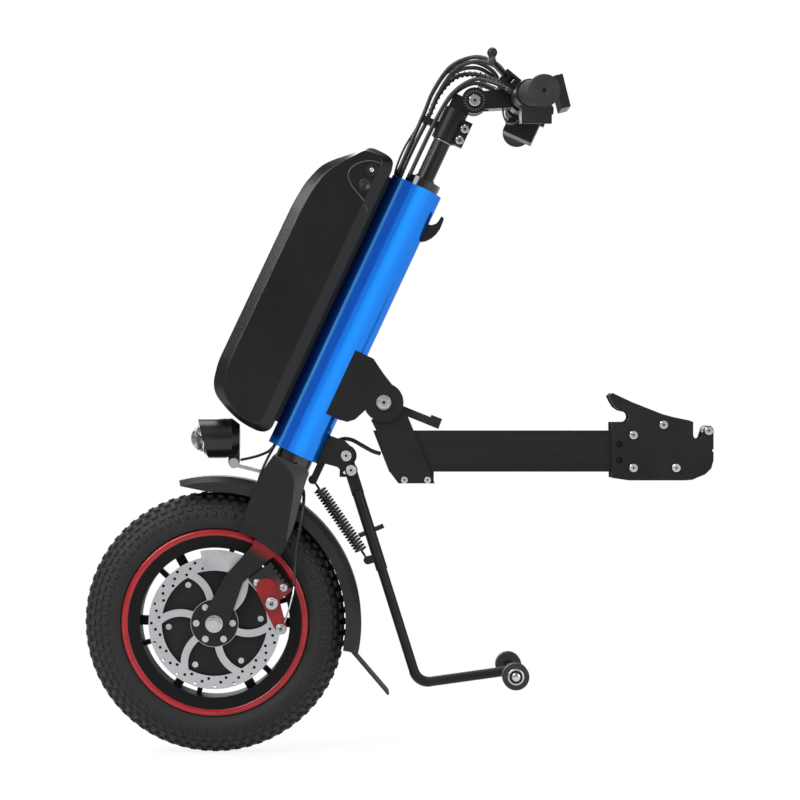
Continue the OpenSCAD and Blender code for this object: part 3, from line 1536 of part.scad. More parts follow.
// One edge of the stop slot, along the swing or back from its end
function slot_edge(off, from) = [
  for (k = [0 : slot_steps])
    let (w = stop_angle - stand_swing + slot_end + (stand_swing - 2 * slot_end) * abs(from - k) / slot_steps)
    (stop_r + off) * [cos(w), sin(w)]
];
module kickstand() {
  color("#1e1f21") union() {
    difference() {
      side(stand_at) linear_extrude(2 * tongue_half, center = true) union() {
        circle(r = tongue_round_r);
        rotate(-90 + stand_lean) translate([0, -tongue_w / 2]) square([tongue_len, tongue_w]);
        rotate(stop_angle - stand_swing) translate([0, -tongue_w / 2])
          square([stop_r + tongue_w / 2, tongue_w]);
      }
      side(stand_at) {
        cylinder(r = stand_bolt_r + run_fit, h = 4 * tongue_half, center = true);
        linear_extrude(4 * tongue_half, center = true) polygon(concat(
          slot_edge(stop_bolt_r + slot_play + slot_ease, 0),
          slot_edge(-stop_bolt_r - slot_play - slot_ease, slot_steps)));
        for (w = [stop_angle - stand_swing, stop_angle]) rotate(w) translate([stop_r, 0, 0])
          cylinder(r = stop_bolt_r + slot_play, h = 4 * tongue_half, center = true);
      }
    }
    stand_tube(tongue_len - tongue_half, stand_sleeve_share * stand_len, stand_d);
    stand_tube(stand_sleeve_share * stand_len - over, stand_len - turn_run + bend_tuck, stand_low_d);
    side(corner_at) translate([-turn_run * sin(stand_lean) + stand_bend_r * cos(stand_lean),
                  turn_run * cos(stand_lean) + stand_bend_r * sin(stand_lean), 0])
      rotate(180 + stand_lean) rotate_extrude(angle = turn) translate([stand_bend_r, 0])
        circle(d = stand_low_d + bend_swell);
    side(corner_at) rotate(foot_rise) translate([turn_run - bend_tuck, 0, 0]) rotate([0, 90, 0])
      cylinder(d = stand_low_d, h = foot_len - turn_run + bend_tuck);
    side(roller_at) {
      cylinder(r = roller_axle_r, h = roller_track + roller_w + 2 * roller_cap_h, center = true);
      cylinder(d = stand_low_d + over, h = stand_low_d, center = true);
      for (s = [-1, 1]) translate([0, 0,
        s * (roller_track / 2 + roller_w / 2 + roller_cap_h / 2 + face_gap)])
        cylinder(r = roller_cap_r, h = roller_cap_h, center = true);
      for (s = [-1, 1]) translate([0, 0,
        s * (roller_track / 2 - roller_w / 2 - roller_cap_h / 2 - face_gap)])
        cylinder(r = roller_cap_r, h = roller_cap_h, center = true);
    }
    translate(stand_at + peg_along * stand_dir) rotate([0, 90 - peg_rise, 0])
      translate([0, 0, -peg_left])
      cylinder(r = peg_r, h = peg_left + peg_right);
    side(stand_at) rotate(-90 + stand_lean) {
      translate([0, 0, eye_plate_in]) linear_extrude(eye_plate_t) union() {
        translate([lug_along, -lug_out]) circle(r = lug_r);
        translate([lug_along - lug_r, -lug_out]) square([2 * lug_r, lug_out]);
      }
      translate([lug_along, -lug_out]) eye_post();
    }
  }
}
module roller(s) {
  color("#2a2a2c") side(roller_at + [0, s * roller_track / 2, 0]) difference() {
    cylinder(d = roller_d, h = roller_w, center = true);
    cylinder(r = roller_axle_r + run_fit, h = 2 * roller_w, center = true);
  }
}
module roller_left() {
  roller(-1);
}
module roller_right() {
  roller(1);
}
module kickstand_spring() {
  color("#c4c7ca") sweep(spring_path, spring_refs, spring_wire / 2, spring_sides);
}

// Cable routes (back, right, up) from the tube's top, the clip and the tube's foot
cable_pitch = 5.8;
clip_low = clamp_low + clip_up;
cable_front = tube_front - channel_front_wall - channel_d / 2;
lower_route = [[0, 0, -6], [-1, 0, 20], [-1, 0, 48], [0, 0, 74.8]];
brake_route = [
  [0, 5.8, 0.2], [-1, 8, 32], [6, 18, 66], [27, 34, 84], [50, 48, 85], [66, 57, 79], [69.5, 65.2, 75.3]
];
display_route = [[0, 0, 0.2], [0, 0, 32], [9, -4, 58], [28, -14, 70], [50, -26, 72], [66, -38, 70], [77,
  -46, 69]];
front_route = [[0, -4, 5], [-1.5, -8, -9], [-2, -14, -24], [-1.5, -16, -38], [0, -16, -50.4]];
lamp_route = [[0, 4, 5], [-4, 3, -10], [-11, 1, -19], [-20, 0, -27], [-31.3, 0, -35.6]];
wire_d = 2;
sleeve_wire_d = 4;
// Routes from the axle (back, right, up)
brake_low_route = [
  [96.5, -48, 46], [97.5, -43, 66], [99, -41, 90], [103, -41, 112], [106, -40, 130], [108, -36, 146],
  [108, -29, 158.6], [105.3, -24, 162.5]
];
brake_wire_route = [[85, -57, 2], [91, -55, 20], [95.4, -50.9, 37], [96.5, -48, 45.6]];
link_route = [
  [130.5, 12, 204.5], [140, 13.5, 213], [153, 13, 222], [166, 11, 221.5], [180, 9, 214], [192, 7, 207.5],
  [201.8, 6, 204.5]
];
module lower_cables() {
  color("#141415") on_head() for (k = [-1 : 1]) translate([-cable_front, k * cable_pitch, tube_top])
    cable(lower_route, [1, 0, 0], cable_d);
}
module upper_cables() {
  color("#141415") on_head() translate([-cable_front, 0, clip_low + clip_h]) {
    cable(brake_route, [0, 0.2, 1], cable_d);
    mirror([0, 1, 0]) cable(brake_route, [0, 0.2, 1], cable_d);
    cable(display_route, [0, 1, 0.1], cable_d);
  }
}
module fork_cables() {
  color("#151516") {
    on_head() translate([-cable_front, 0, tube_low]) {
      cable(front_route, [1, 0, 0], cable_d);
      cable(lamp_route, [0, 1, 0], cable_d);
    }
    translate(axle_at) {
      cable(brake_low_route, [1, 0.2, 0], sleeve_wire_d);
      cable(brake_wire_route, [1, 0, 0], wire_d);
    }
  }
}
module link_cable() {
  color("#151516") translate(axle_at) cable(link_route, [0, 1, 0], cable_d);
}

dock_plates();
dock_plug();
dock_bolts();
beam();
arm_bracket();
arm_bolts();
lock_lever();
head_tube();
headset_cups();
headset_bearings();
pivot_bracket();
kickstand_bracket();
frame_bolts();
battery_rail();
bag_hook();
controller();
battery_case_left();
battery_case_right();
battery_cap();
battery_cells();
key_lock();
steerer();
fork_crown();
fork_legs();
mudguard();
mud_flap();
headlight_bracket();
axle();
motor_stator();
caliper_body();
caliper_bracket();
stem_clamp();
stem_bolts();
headlight_housing();
headlight_lens();
caliper_arm();
tyre();
cast_wheel();
motor_covers();
brake_disc();
wheel_bolts();
stem_arm();
handlebar();
grips();
brake_perches();
switch_box();
throttle_housing();
display();
brake_lever_left();
brake_lever_right();
thumb_throttle();
horn_button();
kickstand();
roller_left();
roller_right();
kickstand_spring();
upper_cables();
lower_cables();
fork_cables();
link_cable();
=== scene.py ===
import math

import bmesh
import bpy
from mathutils import Matrix, Vector


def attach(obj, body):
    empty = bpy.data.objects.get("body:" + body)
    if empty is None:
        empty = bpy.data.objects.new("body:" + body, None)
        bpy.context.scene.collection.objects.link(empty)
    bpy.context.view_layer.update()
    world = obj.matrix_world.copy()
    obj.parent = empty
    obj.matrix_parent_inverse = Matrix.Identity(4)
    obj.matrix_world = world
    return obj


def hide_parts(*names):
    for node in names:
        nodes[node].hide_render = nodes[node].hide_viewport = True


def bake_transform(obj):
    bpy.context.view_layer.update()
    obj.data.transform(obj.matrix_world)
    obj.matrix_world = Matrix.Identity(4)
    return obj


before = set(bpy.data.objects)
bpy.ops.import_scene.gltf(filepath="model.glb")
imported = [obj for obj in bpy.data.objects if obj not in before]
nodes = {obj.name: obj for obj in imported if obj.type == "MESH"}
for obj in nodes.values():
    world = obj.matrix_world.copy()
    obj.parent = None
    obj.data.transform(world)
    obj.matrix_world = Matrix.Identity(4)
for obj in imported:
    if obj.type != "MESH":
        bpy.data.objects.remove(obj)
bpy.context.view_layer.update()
mm = 0.001
print("frame loaded with", len(nodes), "nodes")

# places of the frame in millimetres, and angles in degrees
headLean = 25.0
headFoot = Vector((-494.483, 0, -251.192))
axleAt = Vector((-497.202, 0, -249.924))
pivotAt = Vector((-292.0, 0, 17.4))
standAt = Vector((-337.828, 0, -47.5144))
rollerAt = Vector((-135.122, 0, -310.056))
springTop = Vector((-378.452, 0, -76.8987))
springEnd = Vector((-311.134, 0, -175.407))
lampAt = Vector((-474.733, 0, -56.6906))
stemAt = Vector((-181.252, 0, 385.041))
barAt = Vector((-122.533, 0, 388.118))
floorAt = -408.95
barBend = {"straight": 60.0, "sweep": 2.7, "rise": -5.1}
leanCos, leanSin = math.cos(math.radians(headLean)), math.sin(math.radians(headLean))


def turnBy(degrees, axis):
    return Matrix.Rotation(math.radians(degrees), 4, axis)


def headPlace(back, side, up):
    # a point by its distances behind the steering axis, to the side and up along that axis
    return headFoot + Vector((back * leanCos + up * leanSin, side, up * leanCos - back * leanSin))


def barFrame(side):
    # the bar's outer stretch, its z axis along the grip
    turn = turnBy(barBend["sweep"], "Y") @ turnBy(barBend["rise"], "X")
    place = Matrix.Translation((0, barBend["straight"], 0)) @ turnBy(-90, "X") @ turn
    return Matrix.Translation(barAt) @ Matrix.Diagonal((1, side, 1, 1)) @ place


def sideFace(point, side, reach):
    # the place of a face at a reach from the middle plane, its z axis outwards
    place = Matrix.Translation(Vector(point) + Vector((0, side * reach, 0)))
    return place @ turnBy(90 if side < 0 else -90, "X")


def rgba(tone):
    return (*tone, 1.0)


class Shade:
    # one output of a material's tree, so that sums on values read as sums
    def __init__(self, tree, out=None):
        self.tree, self.out = tree, out

    def node(self, kind, settings=None, values=None, out=0):
        made = self.tree.nodes.new("ShaderNode" + kind)
        for key, value in (settings or {}).items():
            setattr(made, key, value)
        for key, value in (values or {}).items():
            if isinstance(value, Shade):
                self.tree.links.new(value.out, made.inputs[key])
            else:
                made.inputs[key].default_value = value
        return Shade(self.tree, made.outputs[out] if made.outputs else None)

    def noise(self, coords, scale, detail, **more):
        return self.node("TexNoise", {}, {"Vector": coords, "Scale": scale, "Detail": detail, **more})

    def bump(self, height, strength, distance, **more):
        return self.node("Bump", {}, {"Strength": strength, "Distance": distance, "Height": height, **more})

    def mix(self, first, second):
        # from the first tone to the second as this value goes from 0 to 1
        first, second = (tone if isinstance(tone, Shade) else rgba(tone) for tone in (first, second))
        return self.node("Mix", {"data_type": "RGBA"}, {0: self, 6: first, 7: second}, 2)

    def step(self, low, high):
        # an eased rise from 0 to 1
        return self.node("MapRange", {"interpolation_type": "SMOOTHSTEP"},
                         {"Value": self, "From Min": low, "From Max": high})

    def apart(self):
        # x, y and z of a place
        return [Shade(self.tree, part) for part in self.node("SeparateXYZ", {}, {0: self}).out.node.outputs]

    def sum(self, operation, first, second):
        return self.node("Math", {"operation": operation}, {0: first, 1: second})

    def __add__(self, other):
        return self.sum("ADD", self, other)

    def __sub__(self, other):
        return self.sum("SUBTRACT", self, other)

    def __rsub__(self, other):
        return self.sum("SUBTRACT", other, self)

    def __mul__(self, other):
        return self.sum("MULTIPLY", self, other)

    def __pow__(self, other):
        return self.sum("POWER", self, other)

    __radd__, __rmul__ = __add__, __mul__

    def __gt__(self, other):
        return self.sum("GREATER_THAN", self, other)

    def __lt__(self, other):
        return self.sum("LESS_THAN", self, other)


finishes = {}


def openMaterial(name):
    # an empty material in the list of finishes, and its object coordinates
    material = finishes[name] = bpy.data.materials.new(name)
    material.use_nodes = True
    material.node_tree.nodes.clear()
    start = Shade(material.node_tree)
    return start, start.node("TexCoord", out=3)


def closeMaterial(start, tone, rough, values):
    surface = start.node("BsdfPrincipled", {}, {"Base Color": tone, "Roughness": rough, **values})
    start.node("OutputMaterial", {}, {"Surface": surface})


def wheelRadius(coords):
    x, _, z = coords.apart()
    dx, dz = x - axleAt.x * mm, z - axleAt.z * mm
    return (dx * dx + dz * dz) ** 0.5


def headBack(coords):
    # how far behind the steering axis, in millimetres
    x, _, z = coords.apart()
    return (x - headFoot.x * mm) * (leanCos / mm) - (z - headFoot.z * mm) * (leanSin / mm)


# what a finish has unless it says otherwise
plainLook = {"spread": 0.10, "depth": 0.0002, "metal": 0.0, "coat": 0.0, "coatRough": 0.12, "gloss": 0.5,
             "cloudRange": (0.35, 0.7), "cloudDetail": 4.0, "grainDetail": 3.0, "grainFine": 0.6}


def finish(name, look):
    # clouded colour, uneven gloss and a grain that stands up a little, drawn out where a stretch is given
    s, coords = openMaterial(name)
    if "stretch" in look:
        coords = s.node("Mapping", {}, {"Vector": coords, "Scale": look["stretch"]})
    cloud = s.noise(coords, look["cloud"], look["cloudDetail"])
    grain = s.noise(coords, look["grain"], look["grainDetail"], Roughness=look["grainFine"])
    tone = cloud.step(*look["cloudRange"]).mix(look["tone"], look["second"])
    rough = grain * look["spread"] + cloud * look["spread"] + (look["rough"] - look["spread"])
    closeMaterial(s, tone, rough, {
        "Metallic": look["metal"], "Coat Weight": look["coat"], "Coat Roughness": look["coatRough"],
        "Specular IOR Level": look["gloss"], "Normal": s.bump(grain, look["bump"], look["depth"])})


finishLooks = {
    "blackPowderCoat": {"tone": (0.007, 0.007, 0.0075), "second": (0.0105, 0.0105, 0.011), "rough": 0.42,
                        "gloss": 0.2, "cloud": 14.0, "grain": 1500.0, "bump": 0.22, "depth": 0.0003},
    "blackAnodised": {"tone": (0.010, 0.010, 0.011), "second": (0.017, 0.017, 0.019), "rough": 0.27,
                      "metal": 0.25, "gloss": 0.28, "cloud": 18.0, "grain": 700.0, "bump": 0.12},
    "brushedBlack": {"tone": (0.010, 0.010, 0.011), "second": (0.015, 0.015, 0.0165), "rough": 0.30,
                     "metal": 0.25, "gloss": 0.26, "spread": 0.08, "cloud": 60.0, "grain": 500.0,
                     "bump": 0.10, "stretch": (0.03, 1.0, 1.0)},
    "lampBlack": {"tone": (0.005, 0.005, 0.006), "second": (0.008, 0.008, 0.009), "rough": 0.24, "gloss": 0.4,
                  "spread": 0.06, "cloud": 40.0, "grain": 500.0, "bump": 0.08},
    "brightSteel": {"tone": (0.56, 0.57, 0.59), "second": (0.40, 0.40, 0.42), "rough": 0.26, "metal": 1.0,
                    "spread": 0.12, "cloud": 60.0, "grain": 600.0, "bump": 0.15},
    "castSilver": {"tone": (0.55, 0.56, 0.58), "second": (0.42, 0.43, 0.45), "rough": 0.34, "metal": 1.0,
                   "spread": 0.14, "cloud": 45.0, "grain": 900.0, "bump": 0.35, "depth": 0.0003},
    "glossRed": {"tone": (0.29, 0.006, 0.011), "second": (0.21, 0.004, 0.008), "rough": 0.26, "coat": 0.25,
                 "gloss": 0.35, "spread": 0.06, "cloud": 30.0, "grain": 700.0, "bump": 0.10},
    "armRed": {"tone": (0.21, 0.003, 0.006), "second": (0.15, 0.002, 0.004), "rough": 0.24, "coat": 0.15,
               "gloss": 0.3, "spread": 0.06, "cloud": 60.0, "grain": 700.0, "bump": 0.10},
    "softRubber": {"tone": (0.013, 0.013, 0.0135), "second": (0.021, 0.021, 0.021), "rough": 0.62,
                   "gloss": 0.3, "spread": 0.14, "cloud": 30.0, "grain": 1200.0, "bump": 0.35,
                   "depth": 0.0003},
    "grainedPlastic": {"tone": (0.008, 0.008, 0.009), "second": (0.013, 0.013, 0.014), "rough": 0.34,
                       "gloss": 0.32, "cloud": 10.0, "grain": 1700.0, "bump": 0.25},
    # a lighter black that stands in for light falling on the blades' back slopes
    "satinFacet": {"tone": (0.016, 0.016, 0.017), "second": (0.022, 0.022, 0.023), "rough": 0.36,
                   "cloud": 30.0, "grain": 1500.0, "bump": 0.2},
    "batteryShell": {"tone": (0.0045, 0.0045, 0.0055), "second": (0.007, 0.007, 0.008), "rough": 0.27,
                     "gloss": 0.30, "spread": 0.08, "cloud": 8.0, "grain": 2200.0, "bump": 0.22,
                     "depth": 0.00015},
    "cableSleeve": {"tone": (0.008, 0.008, 0.0085), "second": (0.013, 0.013, 0.013), "rough": 0.38,
                    "gloss": 0.35, "cloud": 40.0, "grain": 900.0, "bump": 0.2},
    "blackSpringWire": {"tone": (0.010, 0.010, 0.011), "second": (0.030, 0.030, 0.032), "rough": 0.34,
                        "metal": 0.4, "spread": 0.12, "cloud": 90.0, "grain": 900.0, "bump": 0.15},
    "cellWrap": {"tone": (0.03, 0.14, 0.36), "second": (0.02, 0.10, 0.28), "rough": 0.30, "spread": 0.08,
                 "cloud": 60.0, "grain": 500.0, "bump": 0.1, "depth": 0.0003},
    "solderMask": {"tone": (0.02, 0.13, 0.05), "second": (0.015, 0.10, 0.04), "rough": 0.4, "cloud": 120.0,
                   "grain": 600.0, "bump": 0.2, "depth": 0.0003},
    "copperWire": {"tone": (0.45, 0.19, 0.07), "second": (0.34, 0.13, 0.05), "rough": 0.35, "metal": 1.0,
                   "spread": 0.15, "cloud": 200.0, "grain": 900.0, "bump": 0.4, "depth": 0.0004},
    "glossDark": {"tone": (0.004, 0.004, 0.005), "second": (0.006, 0.006, 0.008), "rough": 0.10, "coat": 0.4,
                  "spread": 0.03, "cloud": 12.0, "grain": 200.0, "bump": 0.03},
    # pale grey, which on the battery's seam is a painted highlight
    "paleSeam": {"tone": (0.10, 0.10, 0.105), "second": (0.07, 0.07, 0.075), "rough": 0.4, "spread": 0.08,
                 "cloud": 30.0, "grain": 900.0, "bump": 0.1},
    "mirrorSilver": {"tone": (0.80, 0.81, 0.83), "second": (0.66, 0.67, 0.70), "rough": 0.12, "metal": 1.0,
                     "spread": 0.06, "cloud": 50.0, "grain": 400.0, "bump": 0.05},
}
for finishName, look in finishLooks.items():
    finish(finishName, {**plainLook, **look})


def blueTubeFinish(look):
    # brushed blue, its sides shaded as the drawn section's curve by a bump, with painted shade and highlight
    # in bands across the width and a painted highlight line along the front edge
    s, coords = openMaterial("blueAnodised")
    along = s.node("Mapping", {}, {"Vector": coords, "Rotation": (0, -math.radians(headLean), 0),
                                   "Scale": look["brush"]})
    brush = s.noise(along, 1.0, look["brushDetail"], Roughness=look["brushFine"])
    cloud, back = s.noise(coords, look["cloud"], look["cloudDetail"]), headBack(coords)
    tone = cloud.step(*look["cloudRange"]).mix(look["tone"], look["second"])
    # painted shade and highlight: bands across the width, darker at the front, lightest just ahead of the
    # steering axis
    for low, high, after in look["bands"]:
        tone = back.step(low, high).mix(tone, after)
    # painted highlight: a bright line along the front edge, mottled by the cloud
    line = back.step(*look["paintedHighlightFrom"]) - back.step(*look["paintedHighlightTo"])
    tone = (line * (cloud * look["paintedHighlightSpread"] + look["paintedHighlightShare"])).mix(tone, look["line"])
    form = s.bump(back.step(*look["curve"]) * -look["curveDeep"], 1.0, mm)
    closeMaterial(s, tone, brush * look["spread"] + look["rough"], {
        "Metallic": look["metal"], "Coat Weight": look["coat"], "Coat Roughness": look["coatRough"],
        "Specular Tint": rgba(look["edge"]),
        "Normal": s.bump(brush, look["bump"], look["depth"], Normal=form)})


def rimFinish(look):
    s, coords = openMaterial("rimPaint")
    grain, radius = s.noise(coords, look["grain"], look["grainDetail"]), wheelRadius(coords)
    band = (radius > look["bandInner"]) * (radius < look["bandOuter"])
    rough = grain * look["spread"] + (band * look["bandRough"] + look["rough"])
    closeMaterial(s, band.mix(look["tone"], look["line"]), rough, {
        "Coat Weight": band * look["coat"], "Coat Roughness": look["coatRough"],
        "Specular IOR Level": look["gloss"], "Normal": s.bump(grain, look["bump"], look["depth"])})


def discFinish(look):
    # ground steel with fine rings round the axle, and a black carrier inside
    s, coords = openMaterial("groundDisc")
    radius, cloud = wheelRadius(coords), s.noise(coords, look["cloud"], look["cloudDetail"])
    rings = s.node("TexNoise", {"noise_dimensions": "1D"},
                   {"W": radius * look["rings"], "Scale": 1.0, "Detail": look["ringDetail"]})
    share = rings * look["ringShare"] + cloud * (1.0 - look["ringShare"])
    carrier = radius < look["carrier"]
    rough = rings * look["ringRough"] + (cloud * look["spread"] + look["rough"])
    closeMaterial(s, carrier.mix(share.mix(look["tone"], look["second"]), look["paint"]), rough, {
        "Metallic": 1.0 - carrier, "Specular IOR Level": look["gloss"],
        "Normal": s.bump(rings, look["bump"], look["depth"])})


def tyreFinish(look):
    s, coords = openMaterial("tyreRubber")
    grain = s.noise(coords, look["grain"], look["grainDetail"])
    cloud = s.noise(coords, look["cloud"], look["cloudDetail"])
    worn = wheelRadius(coords).step(look["wornFrom"], look["wornTo"])
    rough = cloud * look["cloudRough"] + (grain * look["spread"] + look["rough"])
    closeMaterial(s, (worn * cloud).mix(look["tone"], look["dust"]), rough, {
        "Specular IOR Level": look["gloss"], "Normal": s.bump(grain, look["bump"], look["depth"])})


def forkFinish(look):
    # black coat that runs into red over the stretch beside the brake
    s, coords = openMaterial("forkPaint")
    grain, radius = s.noise(coords, look["grain"], look["grainDetail"]), wheelRadius(coords)
    side = coords.apart()[1]
    band = radius.step(look["fadeFrom"], look["fadeTo"]) * (radius < look["bandOuter"]) * (side < 0.0)
    closeMaterial(s, band.mix(look["tone"], look["red"]), grain * look["spread"] + look["rough"], {
        "Specular IOR Level": look["gloss"], "Normal": s.bump(grain, look["bump"], look["depth"])})


def caliperFinish(look):
    # red round the arm's bolt, black farther off
    s, coords = openMaterial("caliperPaint")
    grain = s.noise(coords, look["grain"], look["grainDetail"])
    bolt = (axleAt + Vector(look["bolt"])) * mm
    away = s.node("VectorMath", {"operation": "DISTANCE"}, {0: coords, 1: bolt}, 1)
    red = 1.0 - away.step(look["fadeFrom"], look["fadeTo"])
    closeMaterial(s, red.mix(look["tone"], look["red"]), grain * look["spread"] + look["rough"], {
        "Coat Weight": red * look["coat"], "Coat Roughness": look["coatRough"],
        "Specular IOR Level": look["gloss"], "Normal": s.bump(grain, look["bump"], look["depth"])})


def lensFinish(look):
    s, coords = openMaterial("prismLens")
    ribs = s.node("TexWave", {"bands_direction": "Y"},
                  {"Vector": coords, "Scale": look["ribs"], "Distortion": look["waver"]})
    closeMaterial(s, ribs.mix(look["tone"], look["second"]), ribs * look["spread"] + look["rough"], {
        "Transmission Weight": look["clear"], "IOR": look["bend"],
        "Normal": s.bump(ribs, look["bump"], look["depth"])})


def bowlFinish(look):
    # bright metal with its base colour painted in dark and bright patches, a painted reflection of a dark
    # room
    s, coords = openMaterial("streakedBowl")
    paintedReflection = s.noise(coords, look["reflectionPatchScale"], look["reflectionPatchDetail"], Distortion=look["waver"])
    tone = paintedReflection.step(*look["cloudRange"]).mix(look["tone"], look["second"])
    closeMaterial(s, tone, paintedReflection * look["spread"] + look["rough"], {"Metallic": look["metal"]})


# places on the tube are in millimetres behind the steering axis, radii and fades are in metres
blueTubeFinish({
    **plainLook, "tone": (0.004, 0.09, 0.50), "second": (0.005, 0.10, 0.55), "rough": 0.14, "spread": 0.16,
    "metal": 0.88, "coat": 0.2, "coatRough": 0.15, "cloud": 7.0, "cloudDetail": 3.0,
    "cloudRange": (0.3, 0.75), "brush": (900.0, 900.0, 14.0), "brushDetail": 5.0, "brushFine": 0.65,
    "bump": 0.10, "edge": (0.25, 0.5, 0.9),
    # bands and line: painted shade and highlight across the tube's width and along its front edge
    "bands": [(-30.0, -26.0, (0.009, 0.150, 0.82)), (-14.0, -2.0, (0.013, 0.265, 0.93)),
              (2.0, 14.0, (0.010, 0.200, 0.76))],
    "line": (0.10, 0.45, 1.0), "paintedHighlightFrom": (-27.0, -24.5), "paintedHighlightTo": (-23.5, -20.5), "paintedHighlightShare": 0.5,
    "paintedHighlightSpread": 0.6, "curve": (-13.0, 9.0), "curveDeep": 5.5})
rimFinish({**plainLook, "tone": (0.004, 0.004, 0.0045), "line": (0.40, 0.010, 0.014), "bandInner": 0.1056,
           "bandOuter": 0.1135, "grain": 1300.0, "rough": 0.46, "spread": 0.14, "bandRough": -0.18,
           "coat": 0.4, "coatRough": 0.1, "gloss": 0.12, "bump": 0.18})
discFinish({**plainLook, "tone": (0.58, 0.59, 0.61), "second": (0.42, 0.43, 0.45),
            "paint": (0.006, 0.006, 0.007), "carrier": 0.0285, "rings": 9000.0, "ringDetail": 6.0,
            "ringShare": 0.6, "ringRough": 0.16, "cloud": 70.0, "rough": 0.18, "gloss": 0.3, "bump": 0.12})
tyreFinish({**plainLook, "tone": (0.011, 0.011, 0.0115), "dust": (0.026, 0.025, 0.024), "wornFrom": 0.13,
            "wornTo": 0.158, "grain": 900.0, "grainDetail": 4.0, "cloud": 35.0, "cloudDetail": 5.0,
            "rough": 0.5, "cloudRough": 0.2, "gloss": 0.3, "bump": 0.3, "depth": 0.0003})
forkFinish({**plainLook, "tone": (0.006, 0.006, 0.0065), "red": (0.15, 0.003, 0.006), "fadeFrom": 0.094,
            "fadeTo": 0.110, "bandOuter": 0.1125, "grain": 1500.0, "rough": 0.33, "spread": 0.12,
            "gloss": 0.28, "bump": 0.2})
caliperFinish({**plainLook, "tone": (0.008, 0.008, 0.009), "red": (0.17, 0.0035, 0.007), "fadeFrom": 0.018,
               "fadeTo": 0.034, "bolt": (70.0, -50.2, 25.7), "grain": 1200.0, "rough": 0.26, "spread": 0.12,
               "coat": 0.4, "gloss": 0.35, "bump": 0.2})
lensFinish({**plainLook, "tone": (0.92, 0.93, 0.94), "second": (0.70, 0.71, 0.73), "ribs": 120.0,
            "waver": 0.4, "clear": 0.95, "bend": 1.49, "rough": 0.04, "spread": 0.06, "bump": 0.5,
            "depth": 0.0006})
bowlFinish({**plainLook, "tone": (0.015, 0.015, 0.018), "second": (0.85, 0.86, 0.88),
            "cloudRange": (0.50, 0.60), "reflectionPatchScale": 150.0, "reflectionPatchDetail": 2.0, "waver": 1.5, "rough": 0.05,
            "metal": 1.0})
print("finishes made:", len(finishes))

nodeFinish = {
    "blackPowderCoat": ["dock_plates", "arm_bracket", "pivot_bracket", "kickstand_bracket", "bag_hook",
                        "fork_crown", "motor_covers", "stem_clamp", "brake_perches", "kickstand"],
    "blackAnodised": ["dock_plug", "steerer", "handlebar", "brake_lever_left", "brake_lever_right"],
    "brushedBlack": ["beam"], "glossDark": ["headset_cups"], "lampBlack": ["headlight_housing", "stem_arm"],
    "brightSteel": ["dock_bolts", "arm_bolts", "frame_bolts", "headset_bearings", "axle", "wheel_bolts",
                    "stem_bolts", "headlight_bracket"],
    "blueAnodised": ["head_tube"], "rimPaint": ["cast_wheel"], "groundDisc": ["brake_disc"],
    "castSilver": ["caliper_bracket"], "armRed": ["caliper_arm"], "caliperPaint": ["caliper_body"],
    "forkPaint": ["fork_legs"],
    "batteryShell": ["battery_case_left", "battery_case_right", "battery_cap"],
    "grainedPlastic": ["lock_lever", "battery_rail", "mudguard", "switch_box", "throttle_housing", "display",
                       "thumb_throttle", "key_lock", "horn_button"],
    "softRubber": ["mud_flap", "roller_left", "roller_right", "grips"], "tyreRubber": ["tyre"],
    "cellWrap": ["battery_cells"], "solderMask": ["controller"], "copperWire": ["motor_stator"],
    "prismLens": ["headlight_lens"], "blackSpringWire": ["kickstand_spring"],
    "cableSleeve": ["upper_cables", "lower_cables", "fork_cables", "link_cable"],
}
for finishName, members in nodeFinish.items():
    for member in members:
        slots = nodes[member].data.materials
        slots.clear()
        slots.append(finishes[finishName])
print("nodes painted:", sum(len(members) for members in nodeFinish.values()))

# from here shapes are in millimetres
nearAxis = 0.02  # where a lathe form starts
crispAngle = 35.0  # edges over this stay sharp
tiny = 1e-6  # points this close count as one


def addPiece(name, points, faces, finishName, smooth=True):
    mesh = bpy.data.meshes.new(name)
    mesh.from_pydata([Vector(p) * mm for p in points], [], faces)
    work = bmesh.new()
    work.from_mesh(mesh)
    bmesh.ops.remove_doubles(work, verts=work.verts, dist=tiny)
    bmesh.ops.recalc_face_normals(work, faces=work.faces)
    work.to_mesh(mesh)
    work.free()
    mesh.materials.append(finishes[finishName])
    if smooth:
        mesh.shade_smooth()
    else:
        mesh.shade_flat()
    piece = bpy.data.objects.new(name, mesh)
    bpy.context.scene.collection.objects.link(piece)
    return piece


def sharpen(piece, degrees):
    piece.data.set_sharp_from_angle(angle=math.radians(degrees))


def fitted(piece, body, slotName, *replaced):
    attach(piece, body)
    for node in replaced:
        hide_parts(node)


def circle(count):
    return [2 * math.pi * k / count for k in range(count)]


def polar(place, radius, angle, high):
    return place @ Vector((radius * math.cos(angle), radius * math.sin(angle), high))


def bandFaces(rings, count, start=0):
    # quads between closed rings of points that follow each other
    return [(start + r * count + k, start + r * count + (k + 1) % count,
             start + (r + 1) * count + (k + 1) % count, start + (r + 1) * count + k)
            for r in range(rings - 1) for k in range(count)]


def closedFaces(rings, count):
    last = (rings - 1) * count
    return [*bandFaces(rings, count), tuple(reversed(range(count))), tuple(range(last, last + count))]


def turned(profile, place, steps, closed=False):
    # a lathe form: profile of (radius, height) about the z axis of a placing matrix
    points = [polar(place, r, a, h) for a in circle(steps) for r, h in profile]
    count, faces = len(profile), []
    for k in range(steps):
        n = (k + 1) % steps
        for i in range(count if closed else count - 1):
            j = (i + 1) % count
            faces.append((k * count + i, n * count + i, n * count + j, k * count + j))
    return points, faces


